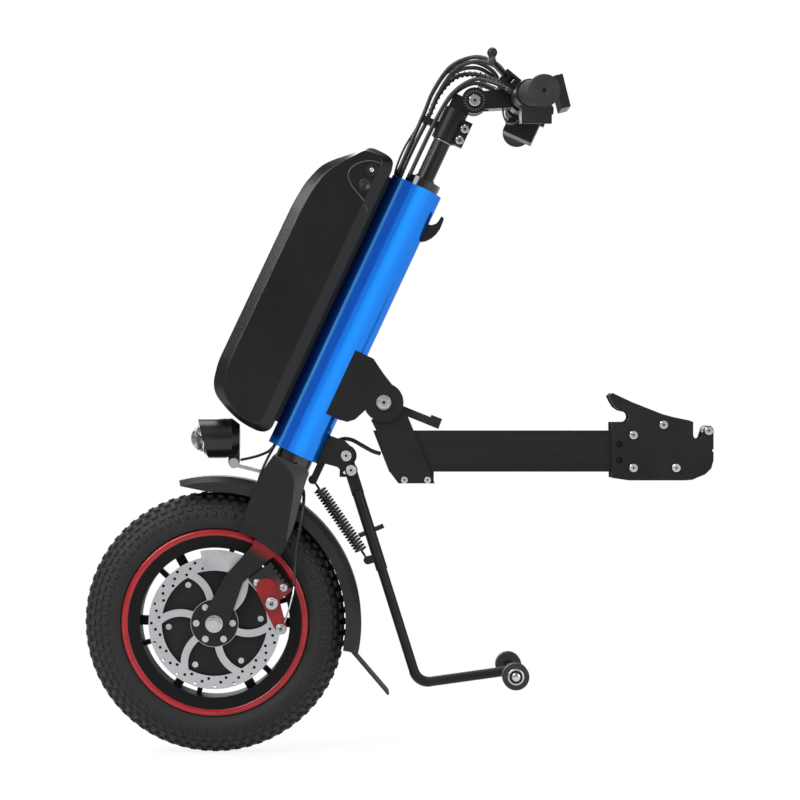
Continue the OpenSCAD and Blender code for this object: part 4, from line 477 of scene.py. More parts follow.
def smoothRoute(route, steps):
    # a smooth curve through the given points
    route = [Vector(p) for p in route]
    padded = [2 * route[0] - route[1], *route, 2 * route[-1] - route[-2]]
    out = []
    for a, b, c, d in zip(padded, padded[1:], padded[2:], padded[3:]):
        for k in range(steps):
            t = k / steps
            out.append(0.5 * (2 * b + (c - a) * t + (2 * a - 5 * b + 4 * c - d) * t * t
                              + (3 * b - a - 3 * c + d) * t ** 3))
    return [*out, route[-1]]


def carried(path):
    # each point of a path with two directions across it, kept from twisting
    side = None
    for k, p in enumerate(path):
        along = (path[min(k + 1, len(path) - 1)] - path[max(k - 1, 0)]).normalized()
        side = side or along.orthogonal().normalized()
        side = (side - along * side.dot(along)).normalized()
        yield p, side, along.cross(side)


def tube(path, radius, sides):
    # a round tube along a path, closed at both ends
    points = [p + radius * (math.cos(a) * side + math.sin(a) * up)
              for p, side, up in carried([Vector(p) for p in path]) for a in circle(sides)]
    return points, closedFaces(len(path), sides)


def joinParts(*parts):
    points, faces = [], []
    for partPoints, partFaces in parts:
        start = len(points)
        points += list(partPoints)
        faces += [tuple(start + i for i in face) for face in partFaces]
    return points, faces


def block(low, high, place, taper=0.0):
    # a box, drawn in towards its top
    points = []
    for z, t in ((low[2], 0.0), (high[2], taper)):
        left, near, right, far = low[0] + t, low[1] + t, high[0] - t, high[1] - t
        corners = ((left, near), (right, near), (right, far), (left, far))
        points += [place @ Vector((x, y, z)) for x, y in corners]
    return points, closedFaces(2, 4)


def dress(name, parts, finishName, body, slotName, crisp=None, smooth=True):
    # one piece of several parts on a body, its edges over the crisp angle kept sharp
    piece = addPiece(name, *joinParts(*parts), finishName, smooth)
    if crisp:
        sharpen(piece, crisp)
    fitted(piece, body, slotName)


def settle(piece):
    # leaves the modifiers' result as a plain mesh under the same name
    shown = bpy.context.evaluated_depsgraph_get()
    shown.update()
    mesh = bpy.data.meshes.new_from_object(piece.evaluated_get(shown))
    name, material = piece.name, piece.data.materials[0]
    piece.modifiers.clear()
    piece.data = mesh
    mesh.name = name
    if not mesh.materials:
        mesh.materials.append(material)


def makeCopyTree():
    # copies of the mesh, each turned and moved on by equal steps, then set at a centre
    tree, keys = bpy.data.node_groups.new("copies", "GeometryNodeTree"), {}
    for label, kind in (("Geometry", "Geometry"), ("Count", "Int"), ("Turn", "Vector"), ("Step", "Vector"),
                        ("Centre", "Vector"), ("Material", "Material")):
        socket = tree.interface.new_socket(label, in_out="INPUT", socket_type="NodeSocket" + kind)
        keys[label] = socket.identifier
    tree.interface.new_socket("Geometry", in_out="OUTPUT", socket_type="NodeSocketGeometry")

    def add(kind, links, operation=None):
        made = tree.nodes.new(kind)
        if operation:
            made.operation = operation
        for key, value in links.items():
            tree.links.new(value, made.inputs[key])
        return made.outputs

    given, index = add("NodeGroupInput", {}), add("GeometryNodeInputIndex", {})[0]
    turn, place = [add("ShaderNodeVectorMath", {0: given[key], "Scale": index}, "SCALE")[0]
                   for key in ("Turn", "Step")]
    dots = add("GeometryNodePoints", {"Count": given["Count"], "Position": place})
    copies = add("GeometryNodeInstanceOnPoints",
                 {"Points": dots[0], "Instance": given["Geometry"], "Rotation": turn})
    moved = add("GeometryNodeTransform", {"Geometry": copies[0], "Translation": given["Centre"]})
    real = add("GeometryNodeRealizeInstances", {"Geometry": moved[0]})
    painted = add("GeometryNodeSetMaterial", {"Geometry": real[0], "Material": given["Material"]})
    add("NodeGroupOutput", {0: painted[0]})
    return tree, keys


copyTree, copyKeys = makeCopyTree()


def repeat(piece, values):
    copier = piece.modifiers.new("copies", "NODES")
    copier.node_group = copyTree
    for label, value in {**values, "Material": piece.data.materials[0]}.items():
        copier[copyKeys[label]] = value
    settle(piece)


# cables: most routes are (back, side, up) from the front of the post, the brake's lower two and the link's
# are from the axle, and the switch's is in the frame
cables = {"radius": 2.5, "sides": 12, "steps": 8, "front": -27.5, "tubeTop": 585.0, "tubeFoot": 227.0,
          "clip": 668.0, "pitch": 5.8, "wireRadius": 1.0, "thinRadius": 1.7, "switchRadius": 1.2,
          "hoseRadius": 2.0, "leadRadius": 1.4}
cableTie = {"width": 2.6, "thick": 0.9, "steps": 20, "brakeShares": (0.3, 0.72), "hoseShare": 0.45}
cableBarrel = {"radius": 3.9, "short": 1.5, "upper": 17.0, "side": 15.0, "sides": 14}
cableWrap = {"radius": 3.2, "pitch": 7.0, "strand": 0.85, "steps": 24, "sides": 6}
lowerRoute = [(0, 0, -6), (-1, 0, 20), (-1, 0, 48), (0, 0, 74.8)]
brakeRoute = [(0, 5.8, 0.2), (-1, 8, 32), (6, 18, 66), (27, 34, 84), (50, 48, 85), (66, 57, 79),
              (69.5, 65.2, 75.3)]
displayRoute = [(0, 0, 0.2), (0, 0, 32), (9, -4, 58), (28, -14, 70), (50, -26, 72), (66, -38, 70),
                (77, -46, 69)]
innerRoute = [(9, 13, 4), (9, 13, 50), (10, 13, 90), (15, 15, 122), (31, 22, 146), (51, 31, 151),
              (66, 44, 150), (75, 57, 148.5), (79, 66, 147.5)]
outerRoute = [(-5, 3, 2), (-6, 3, 46), (-7, 3, 86), (-8, 6, 116), (-1, 14, 150), (21, 26, 171),
              (46, 39, 173), (62, 53, 164), (70.8, 66, 152.5)]
leadRoute = [(-4.0, 0, -8), (-8.6, 0, 6), (-10.6, 0, 22), (-10.8, 0, 38), (-9.2, 0.5, 54), (-7.2, 1, 68)]
frontRoute = [(0, -4, 5), (-1.5, -8, -9), (-2, -14, -24), (-1.5, -16, -38), (0, -16, -50.4)]
lampRoute = [(0, 4, 5), (-4, 3, -10), (-11, 1, -19), (-20, 0, -27), (-31.3, 0, -35.6)]
brakeLowRoute = [(96.5, -48, 46), (97.5, -43, 66), (99, -41, 90), (103, -41, 112), (106, -40, 130),
                 (108, -36, 146), (108, -29, 158.6), (105.3, -24, 162.5)]
brakeWireRoute = [(85, -57, 2), (91, -55, 20), (95.4, -50.9, 37), (96.5, -48, 45.6)]
linkRoute = [(130.5, 12, 204.5), (140, 13.5, 213), (153, 13, 222), (166, 11, 221.5), (180, 9, 214),
             (192, 7, 207.5), (201.8, 6, 204.5)]
switchRoute = [(-147, -14, 377), (-146.5, -26, 365), (-143, -50, 354), (-137, -72, 352), (-128, -86, 357)]


def fromHead(route, up, side=0.0, mirrored=1):
    return [headPlace(cables["front"] + x, side + mirrored * y, up + z) for x, y, z in route]


def fromAxle(route):
    return [axleAt + Vector(p) for p in route]


def cableTube(route, radius=cables["radius"]):
    return tube(smoothRoute(route, cables["steps"]), radius, cables["sides"])


def tie(route, at, radius):
    # a flat strap round a cable at a share of its route
    path = smoothRoute(route, cables["steps"])
    k = max(1, min(len(path) - 2, int(at * len(path))))
    along = (path[k + 1] - path[k - 1]).normalized()
    place = Matrix.Translation(path[k]) @ along.to_track_quat("Z", "Y").to_matrix().to_4x4()
    half, outer = cableTie["width"] / 2, radius + cableTie["thick"]
    strap = [(radius, -half), (outer, -half), (outer, half), (radius, half)]
    return turned(strap, place, cableTie["steps"], True)


def barrel(route, long):
    # the stout sleeve on a cable's end
    path = smoothRoute(route, cables["steps"])
    back = (path[-3] - path[-1]).normalized()
    ends = [path[-1] + back * long, path[-1] + back * cableBarrel["short"]]
    return tube(ends, cableBarrel["radius"], cableBarrel["sides"])


def spiralWrap(route, size):
    # a narrow band wound round a cable
    path = smoothRoute(route, size["steps"])
    run, out = 0.0, []
    for k, (p, side, up) in enumerate(carried(path)):
        run += (p - path[k - 1]).length if k else 0.0
        a = 2 * math.pi * run / size["pitch"]
        out.append(p + size["radius"] * (math.cos(a) * side + math.sin(a) * up))
    return tube(out, size["strand"], size["sides"])


upperRoutes = [fromHead(brakeRoute, cables["clip"]), fromHead(brakeRoute, cables["clip"], 0, -1),
               fromHead(displayRoute, cables["clip"])]
upperCables = addPiece("upperCables", *joinParts(
    *[cableTube(route) for route in upperRoutes],
    *[barrel(route, cableBarrel["upper"]) for route in upperRoutes],
    *[tie(route, at, cables["radius"]) for route in upperRoutes[:2] for at in cableTie["brakeShares"]]),
    "cableSleeve")
sideRoutes = [fromHead(route, cables["tubeTop"], 0, side)
              for route in (innerRoute, outerRoute) for side in (-1, 1)]
sideCables = addPiece("sideCables", *joinParts(
    *[cableTube(route) for route in sideRoutes],
    *[barrel(route, cableBarrel["side"]) for route in sideRoutes]), "cableSleeve")
wrapPiece = addPiece("cableWrap", *spiralWrap(upperRoutes[2], cableWrap), "cableSleeve")
lowerCables = addPiece("lowerCables", *joinParts(
    *[cableTube(fromHead(lowerRoute, cables["tubeTop"], k * cables["pitch"])) for k in (-1, 0, 1)],
    cableTube(fromHead(leadRoute, cables["tubeTop"]), cables["leadRadius"])), "cableSleeve")
forkCables = addPiece("forkCables", *joinParts(
    *[cableTube(fromHead(route, cables["tubeFoot"]), cables["thinRadius"])
      for route in (frontRoute, lampRoute)]), "cableSleeve")
switchCable = addPiece("switchCable", *cableTube(switchRoute, cables["switchRadius"]), "cableSleeve")
hoseRoute = fromAxle(brakeLowRoute)
brakeHose = addPiece("brakeHose", *joinParts(
    cableTube(hoseRoute, cables["hoseRadius"]),
    tie(hoseRoute, cableTie["hoseShare"], cables["hoseRadius"])), "cableSleeve")
brakeWire = addPiece("brakeWire", *cableTube(fromAxle(brakeWireRoute), cables["wireRadius"]), "brightSteel")
linkCable = addPiece("linkCable", *cableTube(fromAxle(linkRoute)), "cableSleeve")
for piece in (upperCables, wrapPiece, sideCables):
    headPlace(-28, 0, 690) * mm
    headPlace(30, 0, 750) * mm
    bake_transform(piece)
    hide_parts("upper_cables")
headPlace(-28, 0, 588) * mm
headPlace(-28, 0, 655) * mm
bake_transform(lowerCables)
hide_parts("lower_cables")
headPlace(-28, 0, 226) * mm
headPlace(-28, 0, 198) * mm
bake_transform(forkCables)
for piece in (forkCables, brakeHose, brakeWire):
    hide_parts("fork_cables")
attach(switchCable, "handlebar")
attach(brakeHose, "steering")
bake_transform(brakeWire)
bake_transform(linkCable)
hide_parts("link_cable")
print("cables laid")

# the stand's spring: a coil that stretches between two hooks
springWire = {"curls": 22, "radius": 6.4, "wire": 1.4, "lead": 14.0, "bend": 2.0, "bendShare": 0.5,
              "eye": 4.0, "perCurl": 16, "eyeSteps": 20, "eyeTurn": -250.0, "sides": 10}
springAxis = (springEnd - springTop).normalized()
springAcross = Vector((0, 1, 0))
springSide = springAcross.cross(springAxis)


def springHook(size, at, towards):
    # an open ring round a peg, with a shank to the coil
    first, turn = 0.0 if towards > 0 else math.pi, math.radians(size["eyeTurn"])
    angles = [first + turn * (1 - k / size["eyeSteps"]) for k in range(size["eyeSteps"] + 1)]
    ring = [at + size["eye"] * (math.cos(w) * springAxis + math.sin(w) * springSide) for w in angles]
    reach, across = springAxis * towards, springAcross * size["radius"]
    shank = [at + reach * (size["lead"] - size["bend"]) + across * size["bendShare"],
             at + reach * size["lead"] + across]
    return tube([*ring, *shank], size["wire"], size["sides"])


def springCoil(size):
    length = (springEnd - springTop).length - 2 * size["lead"]
    total = size["curls"] * size["perCurl"]
    path = []
    for i in range(total + 1):
        w = 2 * math.pi * i / size["perCurl"]
        path.append(springTop + springAxis * (size["lead"] + length * i / total)
                    + size["radius"] * (math.cos(w) * springAcross + math.sin(w) * springSide))
    return tube(path, size["wire"], size["sides"])


standSpring = addPiece("standSpring", *springCoil(springWire), "blackSpringWire")
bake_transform(standSpring)
for hookName, at, towards, body in (("springHookTop", springTop, 1, "frame"),
                                    ("springHookEnd", springEnd, -1, "kickstand")):
    hook = addPiece(hookName, *springHook(springWire, at, towards), "blackSpringWire")
    fitted(hook, body, "disc_steel", "kickstand_spring")
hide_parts("kickstand_spring")
print("spring wound")

# tyre: a carcass with moulded rings, and one pitch of tread repeated round it
tyre = {"midRadius": 130.5, "half": 28.5, "drop": 3.0, "bead": 108.0, "pitches": 72, "steps": 144,
        "sunk": 1.6, "skin": 0.6, "arc": 144, "arcSteps": 72, "rings": ((102, 0.5), (121, 0.6)),
        "ringHalf": 4.0, "wall": 2.5, "taper": 0.5, "edge": 0.5, "edgeAngle": 30.0, "crisp": 40.0,
        "mainRows": {"angles": (0, 24, -24), "across": 8.0, "along": 8.5, "high": 2.9},
        "sideRows": [(45, 6.4, 8.6, 1.7, 0.0), (62, 5.6, 8.2, 1.4, 0.5), (80, 6.6, 5.4, 1.0, 0.0)]}


def tyreSection(size):
    # the overlap of two circles from bead to bead, with two moulded rings on each wall
    shift = size["drop"] / 2
    centre, out = size["midRadius"] - shift, []
    for k in range(size["arcSteps"] + 1):
        a = math.radians(-size["arc"] + 2 * size["arc"] * k / size["arcSteps"])
        root = math.sqrt(size["half"] ** 2 - (shift * math.sin(a)) ** 2)
        reach = root - shift * abs(math.cos(a)) - size["skin"]
        for ringAt, ringHigh in size["rings"]:
            reach += ringHigh * max(0.0, 1 - abs(abs(math.degrees(a)) - ringAt) / size["ringHalf"])
        out.append((max(size["bead"], centre + reach * math.cos(a)), reach * math.sin(a)))
    return out


def treadBlock(size, angle, across, along, high, shift):
    a = math.radians(angle)
    out, side = Vector((math.cos(a), math.sin(a), 0)), Vector((-math.sin(a), math.cos(a), 0))
    centre = Vector((size["midRadius"] - size["drop"], 0, 0)) + out * size["half"]
    turn = Matrix.Rotation(2 * math.pi * shift / size["pitches"], 4, "Y")
    basis = Matrix((side, Vector((0, 0, 1)), out)).transposed().to_4x4()
    return block((-across / 2, -along / 2, -size["sunk"]), (across / 2, along / 2, high),
                 turn @ Matrix.Translation(centre) @ basis, size["taper"])


def treadPitch(size):
    rows = size["mainRows"]
    parts = [treadBlock(size, angle, rows["across"], rows["along"], rows["high"], 0.5 if angle else 0.0)
             for angle in rows["angles"]]
    for angle, *row in size["sideRows"]:
        parts += [treadBlock(size, side * angle, *row) for side in (-1, 1)]
    return joinParts(*parts)


wheelPlace = Matrix.Translation(axleAt) @ turnBy(-90, "X")
carcass = addPiece("tyreCarcass", *turned(tyreSection(tyre), wheelPlace, tyre["steps"]), "tyreRubber")
wall = carcass.modifiers.new("wall", "SOLIDIFY")
wall.thickness, wall.offset = tyre["wall"] * mm, -1
settle(carcass)
tread = addPiece("tyreTread", *treadPitch(tyre), "tyreRubber", False)
edge = tread.modifiers.new("edge", "BEVEL")
edge.width, edge.segments, edge.limit_method = tyre["edge"] * mm, 1, "ANGLE"
edge.angle_limit = math.radians(tyre["edgeAngle"])
settle(tread)
treadTurn = Vector((0, 2 * math.pi / tyre["pitches"], 0))
repeat(tread, {"Count": tyre["pitches"], "Turn": treadTurn, "Centre": axleAt * mm})
sharpen(tread, tyre["crisp"])
for piece in (carcass, tread):
    fitted(piece, "wheel", "tyre_rubber", "tyre")
print("tyre moulded")

# grips: a flanged sleeve and a row of fine ribs on each side
grip = {"start": 63.2, "end": 193.9, "radius": 14.9, "bore": 11.2, "flange": 18.6, "flangeLow": 189.9,
        "mouth": 0.8, "lip": 0.4, "lipRise": 1.2, "lipEnd": 3.5, "lipFall": 4.2, "flare": 1.5,
        "flareEdge": 1.0, "tip": 1.2, "hole": 2.6, "holeEdge": 1.0, "holeRound": 0.8, "holeDeep": 5.0,
        "steps": 48, "crisp": 50.0}
gripRib = {"high": 0.75, "half": 1.3, "sunk": 0.6, "pitch": 4.2, "count": 27, "start": 68.0, "arcs": 6,
           "steps": 40}


def gripOutline(size):
    # half section from the mouth over the flange to the hole in the end
    start, end, radius = size["start"], size["end"], size["radius"]
    flange, low, hole = size["flange"], size["flangeLow"], size["hole"]
    lip, floor = radius + size["lip"], end - size["holeDeep"]
    return [(size["bore"], start), (radius - size["mouth"], start), (lip, start + size["lipRise"]),
            (lip, start + size["lipEnd"]), (radius, start + size["lipFall"]), (radius, low - size["flare"]),
            (flange - size["flareEdge"], low), (flange, low + size["flareEdge"]), (flange, end - size["tip"]),
            (flange - size["tip"], end), (hole + size["holeEdge"], end), (hole, end - size["holeRound"]),
            (hole, floor), (nearAxis, floor)]


def ribOutline(size, radius):
    angles = [math.pi * k / size["arcs"] for k in range(size["arcs"] + 1)]
    return [(radius - size["sunk"] + (size["high"] + size["sunk"]) * math.sin(t), -size["half"] * math.cos(t))
            for t in angles]


gripProfile, ribProfile = gripOutline(grip), ribOutline(gripRib, grip["radius"])
for side, mark in ((-1, "L"), (1, "R")):
    place = barFrame(side)
    sleeve = addPiece("gripSleeve" + mark, *turned(gripProfile, place, grip["steps"]), "softRubber")
    sharpen(sleeve, grip["crisp"])
    ribPlace = place @ Matrix.Translation((0, 0, gripRib["start"]))
    ribs = addPiece("gripRibs" + mark, *turned(ribProfile, ribPlace, gripRib["steps"]), "softRubber")
    along = (place.to_3x3() @ Vector((0, 0, 1))) * gripRib["pitch"] * mm
    repeat(ribs, {"Count": gripRib["count"], "Step": along})
    for piece in (sleeve, ribs):
        fitted(piece, "handlebar", "soft_rubber", "grips")
print("grips fitted")

# bolt heads: a rim with a hex socket over each plain head, and a dark hexagon in each socket as painted shade
cap = {"sides": 24, "sunk": 0.3, "shoulder": 0.54, "high": 0.9, "chamfer": 0.5, "floor": 0.05,
       "pit": (-0.2, 0.15), "pitOver": 1.1}


def socketCap(place, radius, socket):
    # ring with chamfered rim and six-sided hole, lying on z = 0 of a placing matrix
    sides, angles = cap["sides"], circle(cap["sides"])
    rim = ((radius, -cap["sunk"]), (radius, cap["shoulder"]), (radius - cap["chamfer"], cap["high"]))
    points = [polar(place, r, a, h) for r, h in rim for a in angles]
    points += [polar(place, socket / math.cos(a % (math.pi / 3) - math.pi / 6), a, h)
               for h in (cap["high"], cap["floor"]) for a in angles]
    return points, [*bandFaces(5, sides), tuple(range(4 * sides, 5 * sides))]


def paintedShadePit(place, socket):
    # a dark hexagon at the floor of a six-sided hole, painted shade for the hole's depth
    return [polar(place, socket, a, h) for h in cap["pit"] for a in circle(6)], closedFaces(2, 6)


def capsAt(name, body, places):
    # a cap and its painted-shade pit on both ends of each bolt
    caps, shadePits = [], []
    for point, reach, radius, socket in places:
        for side in (-1, 1):
            face = sideFace(point, side, reach)
            caps.append(socketCap(face, radius, socket))
            shadePits.append(paintedShadePit(face, socket * cap["pitOver"]))
    dress(name + "Caps", caps, "mirrorSilver", body, "bright_steel", crispAngle)
    dress(name + "ShadePits", shadePits, "glossDark", body, "bright_steel", smooth=False)


# head sizes are the half length to the head's face, its radius and its socket
heads = {"dock": (23.2, 5.0, 1.4), "pivot": (31.4, 6.5, 2.0), "arm": (22.2, 4.0, 1.2),
         "stand": (12.3, 6.5, 1.7), "clamp": (12.0, 5.0, 1.7), "stem": (20.3, 7.0, 1.9)}
boltAt = {"dock": [(11.5, -22.0), (48.2, -9.5), (11.5, -62.0), (63.5, -62.0), (103.0, -16.8)],
          "armPlate": (62, 98.4), "armShares": [(0.405, -0.956), (0.858, -0.956)], "stopReach": 18.7,
          "stopAngle": -71, "clampBack": 19, "clampUp": (658, 673)}
armWide, armHigh = boltAt["armPlate"]
armBolts = [pivotAt + Vector((armWide * x, 0, armHigh * z)) for x, z in boltAt["armShares"]]
stopTurn = math.radians(boltAt["stopAngle"])
stopAt = standAt + boltAt["stopReach"] * Vector((math.cos(stopTurn), 0, math.sin(stopTurn)))
clampBolts = [headPlace(boltAt["clampBack"], 0, up) for up in boltAt["clampUp"]]
capsAt("dock", "dock", [((x, 0, z), *heads["dock"]) for x, z in boltAt["dock"]])
capsAt("arm", "arm", [(pivotAt, *heads["pivot"]), *[(p, *heads["arm"]) for p in armBolts]])
capsAt("stand", "frame", [(p, *heads["stand"]) for p in (standAt, stopAt)])
capsAt("stem", "steering", [*[(p, *heads["clamp"]) for p in clampBolts], (stemAt, *heads["stem"])])
print("bolt heads capped")

# dull ring of teeth round the stem's joint, and a bright collar under its clamp
stemRing = {"inner": 10.0, "outer": 13.2, "half": 0.7, "sunk": 0.3, "high": 0.7, "taper": 0.15, "teeth": 22,
            "face": 17.0}
teeth = []
for side in (-1, 1):
    for angle in circle(stemRing["teeth"]):
        place = sideFace(stemAt, side, stemRing["face"]) @ Matrix.Rotation(angle, 4, "Z")
        teeth.append(block((stemRing["inner"], -stemRing["half"], -stemRing["sunk"]),
                           (stemRing["outer"], stemRing["half"], stemRing["high"]), place, stemRing["taper"]))
dress("stemTeeth", teeth, "paleSeam", "steering", "bright_steel", smooth=False)
collar = {"up": 647.6, "profile": [(11.1, 0.0), (12.3, 0.3), (12.3, 1.5), (11.1, 1.8)], "steps": 48}
collarPlace = Matrix.Translation(headPlace(0, 0, collar["up"])) @ turnBy(headLean, "Y")
collarRing = turned(collar["profile"], collarPlace, collar["steps"], True)
dress("postCollar", [collarRing], "brightSteel", "steering", "bright_steel")

# wheel: rounded red band on both rim faces
rimBand = {"inner": 105.4, "outer": 112.8, "face": 25.2944, "high": 1.3, "sunk": 0.2, "arcs": 8, "steps": 144}
middle, half = (rimBand["inner"] + rimBand["outer"]) / 2, (rimBand["outer"] - rimBand["inner"]) / 2
bulge = [(middle - half * math.cos(w), rimBand["high"] * math.sin(w) - rimBand["sunk"])
         for w in (math.pi * k / rimBand["arcs"] for k in range(rimBand["arcs"] + 1))]
bands = [turned(bulge, sideFace(axleAt, side, rimBand["face"]), rimBand["steps"], True) for side in (-1, 1)]
dress("rimBand", bands, "glossRed", "wheel", "red_paint")

# brake: bolts with washers on the swinging arm and on the caliper, places from the axle with head radii
brakeBolts = {"sunk": 0.3, "washer": 1.0, "overlap": 2.0, "bevel": 0.4, "neckLow": 0.2, "top": 3.1,
              "lap": 0.05, "socketShare": 0.5, "steps": 32}


def flangedBolt(place, radius, size):
    rim, flat, top = radius + size["overlap"], size["washer"], size["top"]
    flange = [(nearAxis, -size["sunk"]), (rim, -size["sunk"]), (rim, flat - size["sunk"]),
              (rim - size["bevel"], flat), (nearAxis, flat)]
    low, high = size["neckLow"], top + size["lap"]
    neck = [(nearAxis, low), (radius, low), (radius, high), (nearAxis, high)]
    head = socketCap(place @ Matrix.Translation((0, 0, top)), radius, radius * size["socketShare"])
    return joinParts(*[turned(profile, place, size["steps"]) for profile in (flange, neck)], head)


for name, body, face, places in (
        ("caliperArmBolts", "caliper_arm", 58.5, [((70.0, 25.7), 5.4), ((81.0, -5.0), 4.4)]),
        ("caliperBolts", "steering", 50.2, [((52.5, 50.0), 2.6), ((84.0, 44.0), 2.6)])):
    bolts = [flangedBolt(sideFace(axleAt + Vector((x, 0, z)), -1, face), radius, brakeBolts)
             for (x, z), radius in places]
    dress(name, bolts, "brightSteel", body, "bright_steel", crispAngle)

# fork: a crease down each blade, between its front slope and its back slope; the back slope is a lighter
# black, painted light on that facet
blade = {"face": 44.0, "proud": 0.2, "sunk": 0.5, "steps": 4,
         "front": [(-24, 215.5), (-25.5, 208), (-27, 198), (-27.6, 180), (-27, 160), (-25.5, 143),
                   (-23.3, 127)],
         "crease": [(-21, 214.5, 1.5), (-1.6, 208.3, 3.5), (11.1, 198.3, 4.5), (18, 181, 4.5),
                    (22.5, 166, 4.0), (28, 147, 2.5), (33.5, 128, 0.6)],
         "back": [(-18, 216), (4, 216.3), (21.3, 216), (25.8, 193), (30.5, 168.5), (34.2, 149), (35, 128)]}


def bladeSlope(size, edgeName, side):
    # the wedge between the crease and one edge, sunk a little into the blade
    crease = smoothRoute(size["crease"], size["steps"])
    low = smoothRoute([(x, up, size["proud"]) for x, up in size[edgeName]], size["steps"])
    points = [headPlace(p.x, side * (size["face"] + high), p.y) for a, b in zip(crease, low)
              for p, high in ((a, a.z), (b, b.z), (b, -size["sunk"]), (a, -size["sunk"]))]
    return points, closedFaces(len(crease), 4)


# the back slope's lighter finish is painted light
for edgeName, finishName in (("front", "forkPaint"), ("back", "satinFacet")):
    slopes = [bladeSlope(blade, edgeName, side) for side in (-1, 1)]
    dress(edgeName + "Slope", slopes, finishName, "steering", "black_paint", crispAngle)

# lamp: bright bezel, reflector bowl and a small emitter behind the lens
lamp = {"up": 30.6, "front": 35.5, "lens": 17.0, "bezel": [(0.2, 0.0), (2.3, 0.0), (2.0, 1.6), (0.6, 2.0)],
        "bezelSteps": 64, "bowl": 15.6, "bowlFrom": 0.4, "depth": 8.0, "bowlSteps": 48, "emitter": 5.0,
        "emitterFrom": 1.0, "emitterShare": 0.6, "emitterSteps": 24, "arcs": 8}
lampTurn = Matrix.Translation(lampAt + Vector((0, 0, lamp["up"]))) @ turnBy(-90, "Y")
lampFace = lampTurn @ Matrix.Translation((0, 0, lamp["front"]))
lampShares = [k / lamp["arcs"] for k in range(lamp["arcs"] + 1)]
bezel = [(lamp["lens"] + over, high) for over, high in lamp["bezel"]]
bowl = [(max(nearAxis, lamp["bowl"] * math.sqrt(t)), lamp["bowlFrom"] + lamp["depth"] * t)
        for t in lampShares]
emitter = [(max(nearAxis, lamp["emitter"] * math.cos(w)),
            lamp["emitterFrom"] + lamp["emitter"] * (lamp["emitterShare"] + math.sin(w)))
           for w in (math.pi * t - math.pi / 2 for t in lampShares)]
bezelRing = turned(bezel, lampFace, lamp["bezelSteps"], True)
dress("lampBezel", [bezelRing], "mirrorSilver", "headlight", "silver_alloy")
# the bowl's dark and bright patches are a painted reflection
dress("lampBowl", [turned(bowl, lampFace, lamp["bowlSteps"])], "streakedBowl", "headlight", "silver_alloy")
emitterBall = turned(emitter, lampFace, lamp["emitterSteps"])
dress("lampEmitter", [emitterBall], "glossDark", "headlight", "clear_lens")

# rollers: bright ring on each outer face, and a cap on each end of their axle
roller = {"face": 84.0, "ring": [(6.9, -0.3), (10.2, -0.3), (9.7, 0.7), (7.4, 0.7)], "steps": 40,
          "capFace": 86.3, "cap": [(nearAxis, 0.5), (4.6, 0.5), (5.2, -0.2)], "capSteps": 32}
for side, mark, body in ((-1, "L", "roller_left"), (1, "R", "roller_right")):
    ring = turned(roller["ring"], sideFace(rollerAt, side, roller["face"]), roller["steps"], True)
    dress("rollerRing" + mark, [ring], "brightSteel", body, "bright_steel")
rollerCaps = [turned(roller["cap"], sideFace(rollerAt, side, roller["capFace"]), roller["capSteps"])
              for side in (-1, 1)]
dress("rollerCaps", rollerCaps, "brightSteel", "kickstand", "bright_steel")
print("wheel, brake, lamp and rollers dressed")

# battery: a smooth shell with the source's outline, bevels and rail groove
battery = {"back": 41.0, "depth": 92.0, "low": 233.0, "long": 370.0, "groove": 6.6, "grooveHalf": 13.5,
           "reach": 9.0, "cornerSteps": 6, "endShare": 0.5, "crisp": 28.0,
           "bevel": [(0.0, 31.0), (0.0, 32.6), (0.3, 33.4), (0.8, 34.0), (1.3, 34.5), (2.0, 35.13),
                     (11.0, 43.23), (11.9, 44.0), (12.8, 44.6), (13.7, 44.93), (14.6, 45.0), (16.0, 45.0)],
           "outlineShares": [(0, .016), (.109, 0), (.26, 0), (.424, .005), (.598, .019), (.848, .049),
                             (.946, .084), (1, .154), (.99, .72), (.957, .803), (.87, .873), (.761, .908),
                             (.576, .951), (.38, 1), (.12, 1), (0, .986)],
           "seamShares": [(.05, .803), (.165, .83), (.30, .846), (.38, .857), (.467, .876), (.489, .903),
                          (.424, .932), (.30, .955), (.165, .962)],
           "seamRadius": 0.5, "seamSteps": 6, "seamSides": 8, "keyShare": (.228, .93), "keyProud": 2.0,
           "keyRing": [(1.7, -0.3), (2.5, -0.3), (2.5, 0.4), (1.7, 0.4)], "keySteps": 32,
           "keySlit": [(-0.45, -1.7, -0.3), (0.45, 1.7, 0.3)], "portShare": (.228, .878), "portSteps": 40,
           "portProfile": [(nearAxis, 0.4), (5.4, 0.4), (5.9, 1.2), (7.3, 1.2), (7.6, -0.3)]}


def batteryPlace(share):
    # a place on the case's side, as (back, up) on the head
    back = -battery["back"] - share[0] * battery["depth"]
    return Vector((back, battery["low"] + share[1] * battery["long"]))


def roundedRing(corners, reach, steps):
    # each corner of a closed outline eased into an arc
    out = []
    for k, corner in enumerate(corners):
        ends = []
        for other in (corners[k - 1], corners[(k + 1) % len(corners)]):
            gap = other - corner
            ends.append(corner + gap.normalized() * min(reach, gap.length / 2))
        for i in range(steps + 1):
            s = i / steps
            out.append((1 - s) ** 2 * ends[0] + 2 * s * (1 - s) * corner + s * s * ends[1])
    return out


def cutRing(ring, line):
    # the ring starting where it passes behind a line, with points set on that line
    out = []
    for k, point in enumerate(ring):
        after = ring[(k + 1) % len(ring)]
        out.append(point)
        if (point.x - line) * (after.x - line) < 0:
            out.append(point.lerp(after, (line - point.x) / (after.x - point.x)))
    first = next(k for k in range(len(out)) if out[k].x >= line - tiny and out[k - 1].x < line - tiny)
    return out[first:] + out[:first]


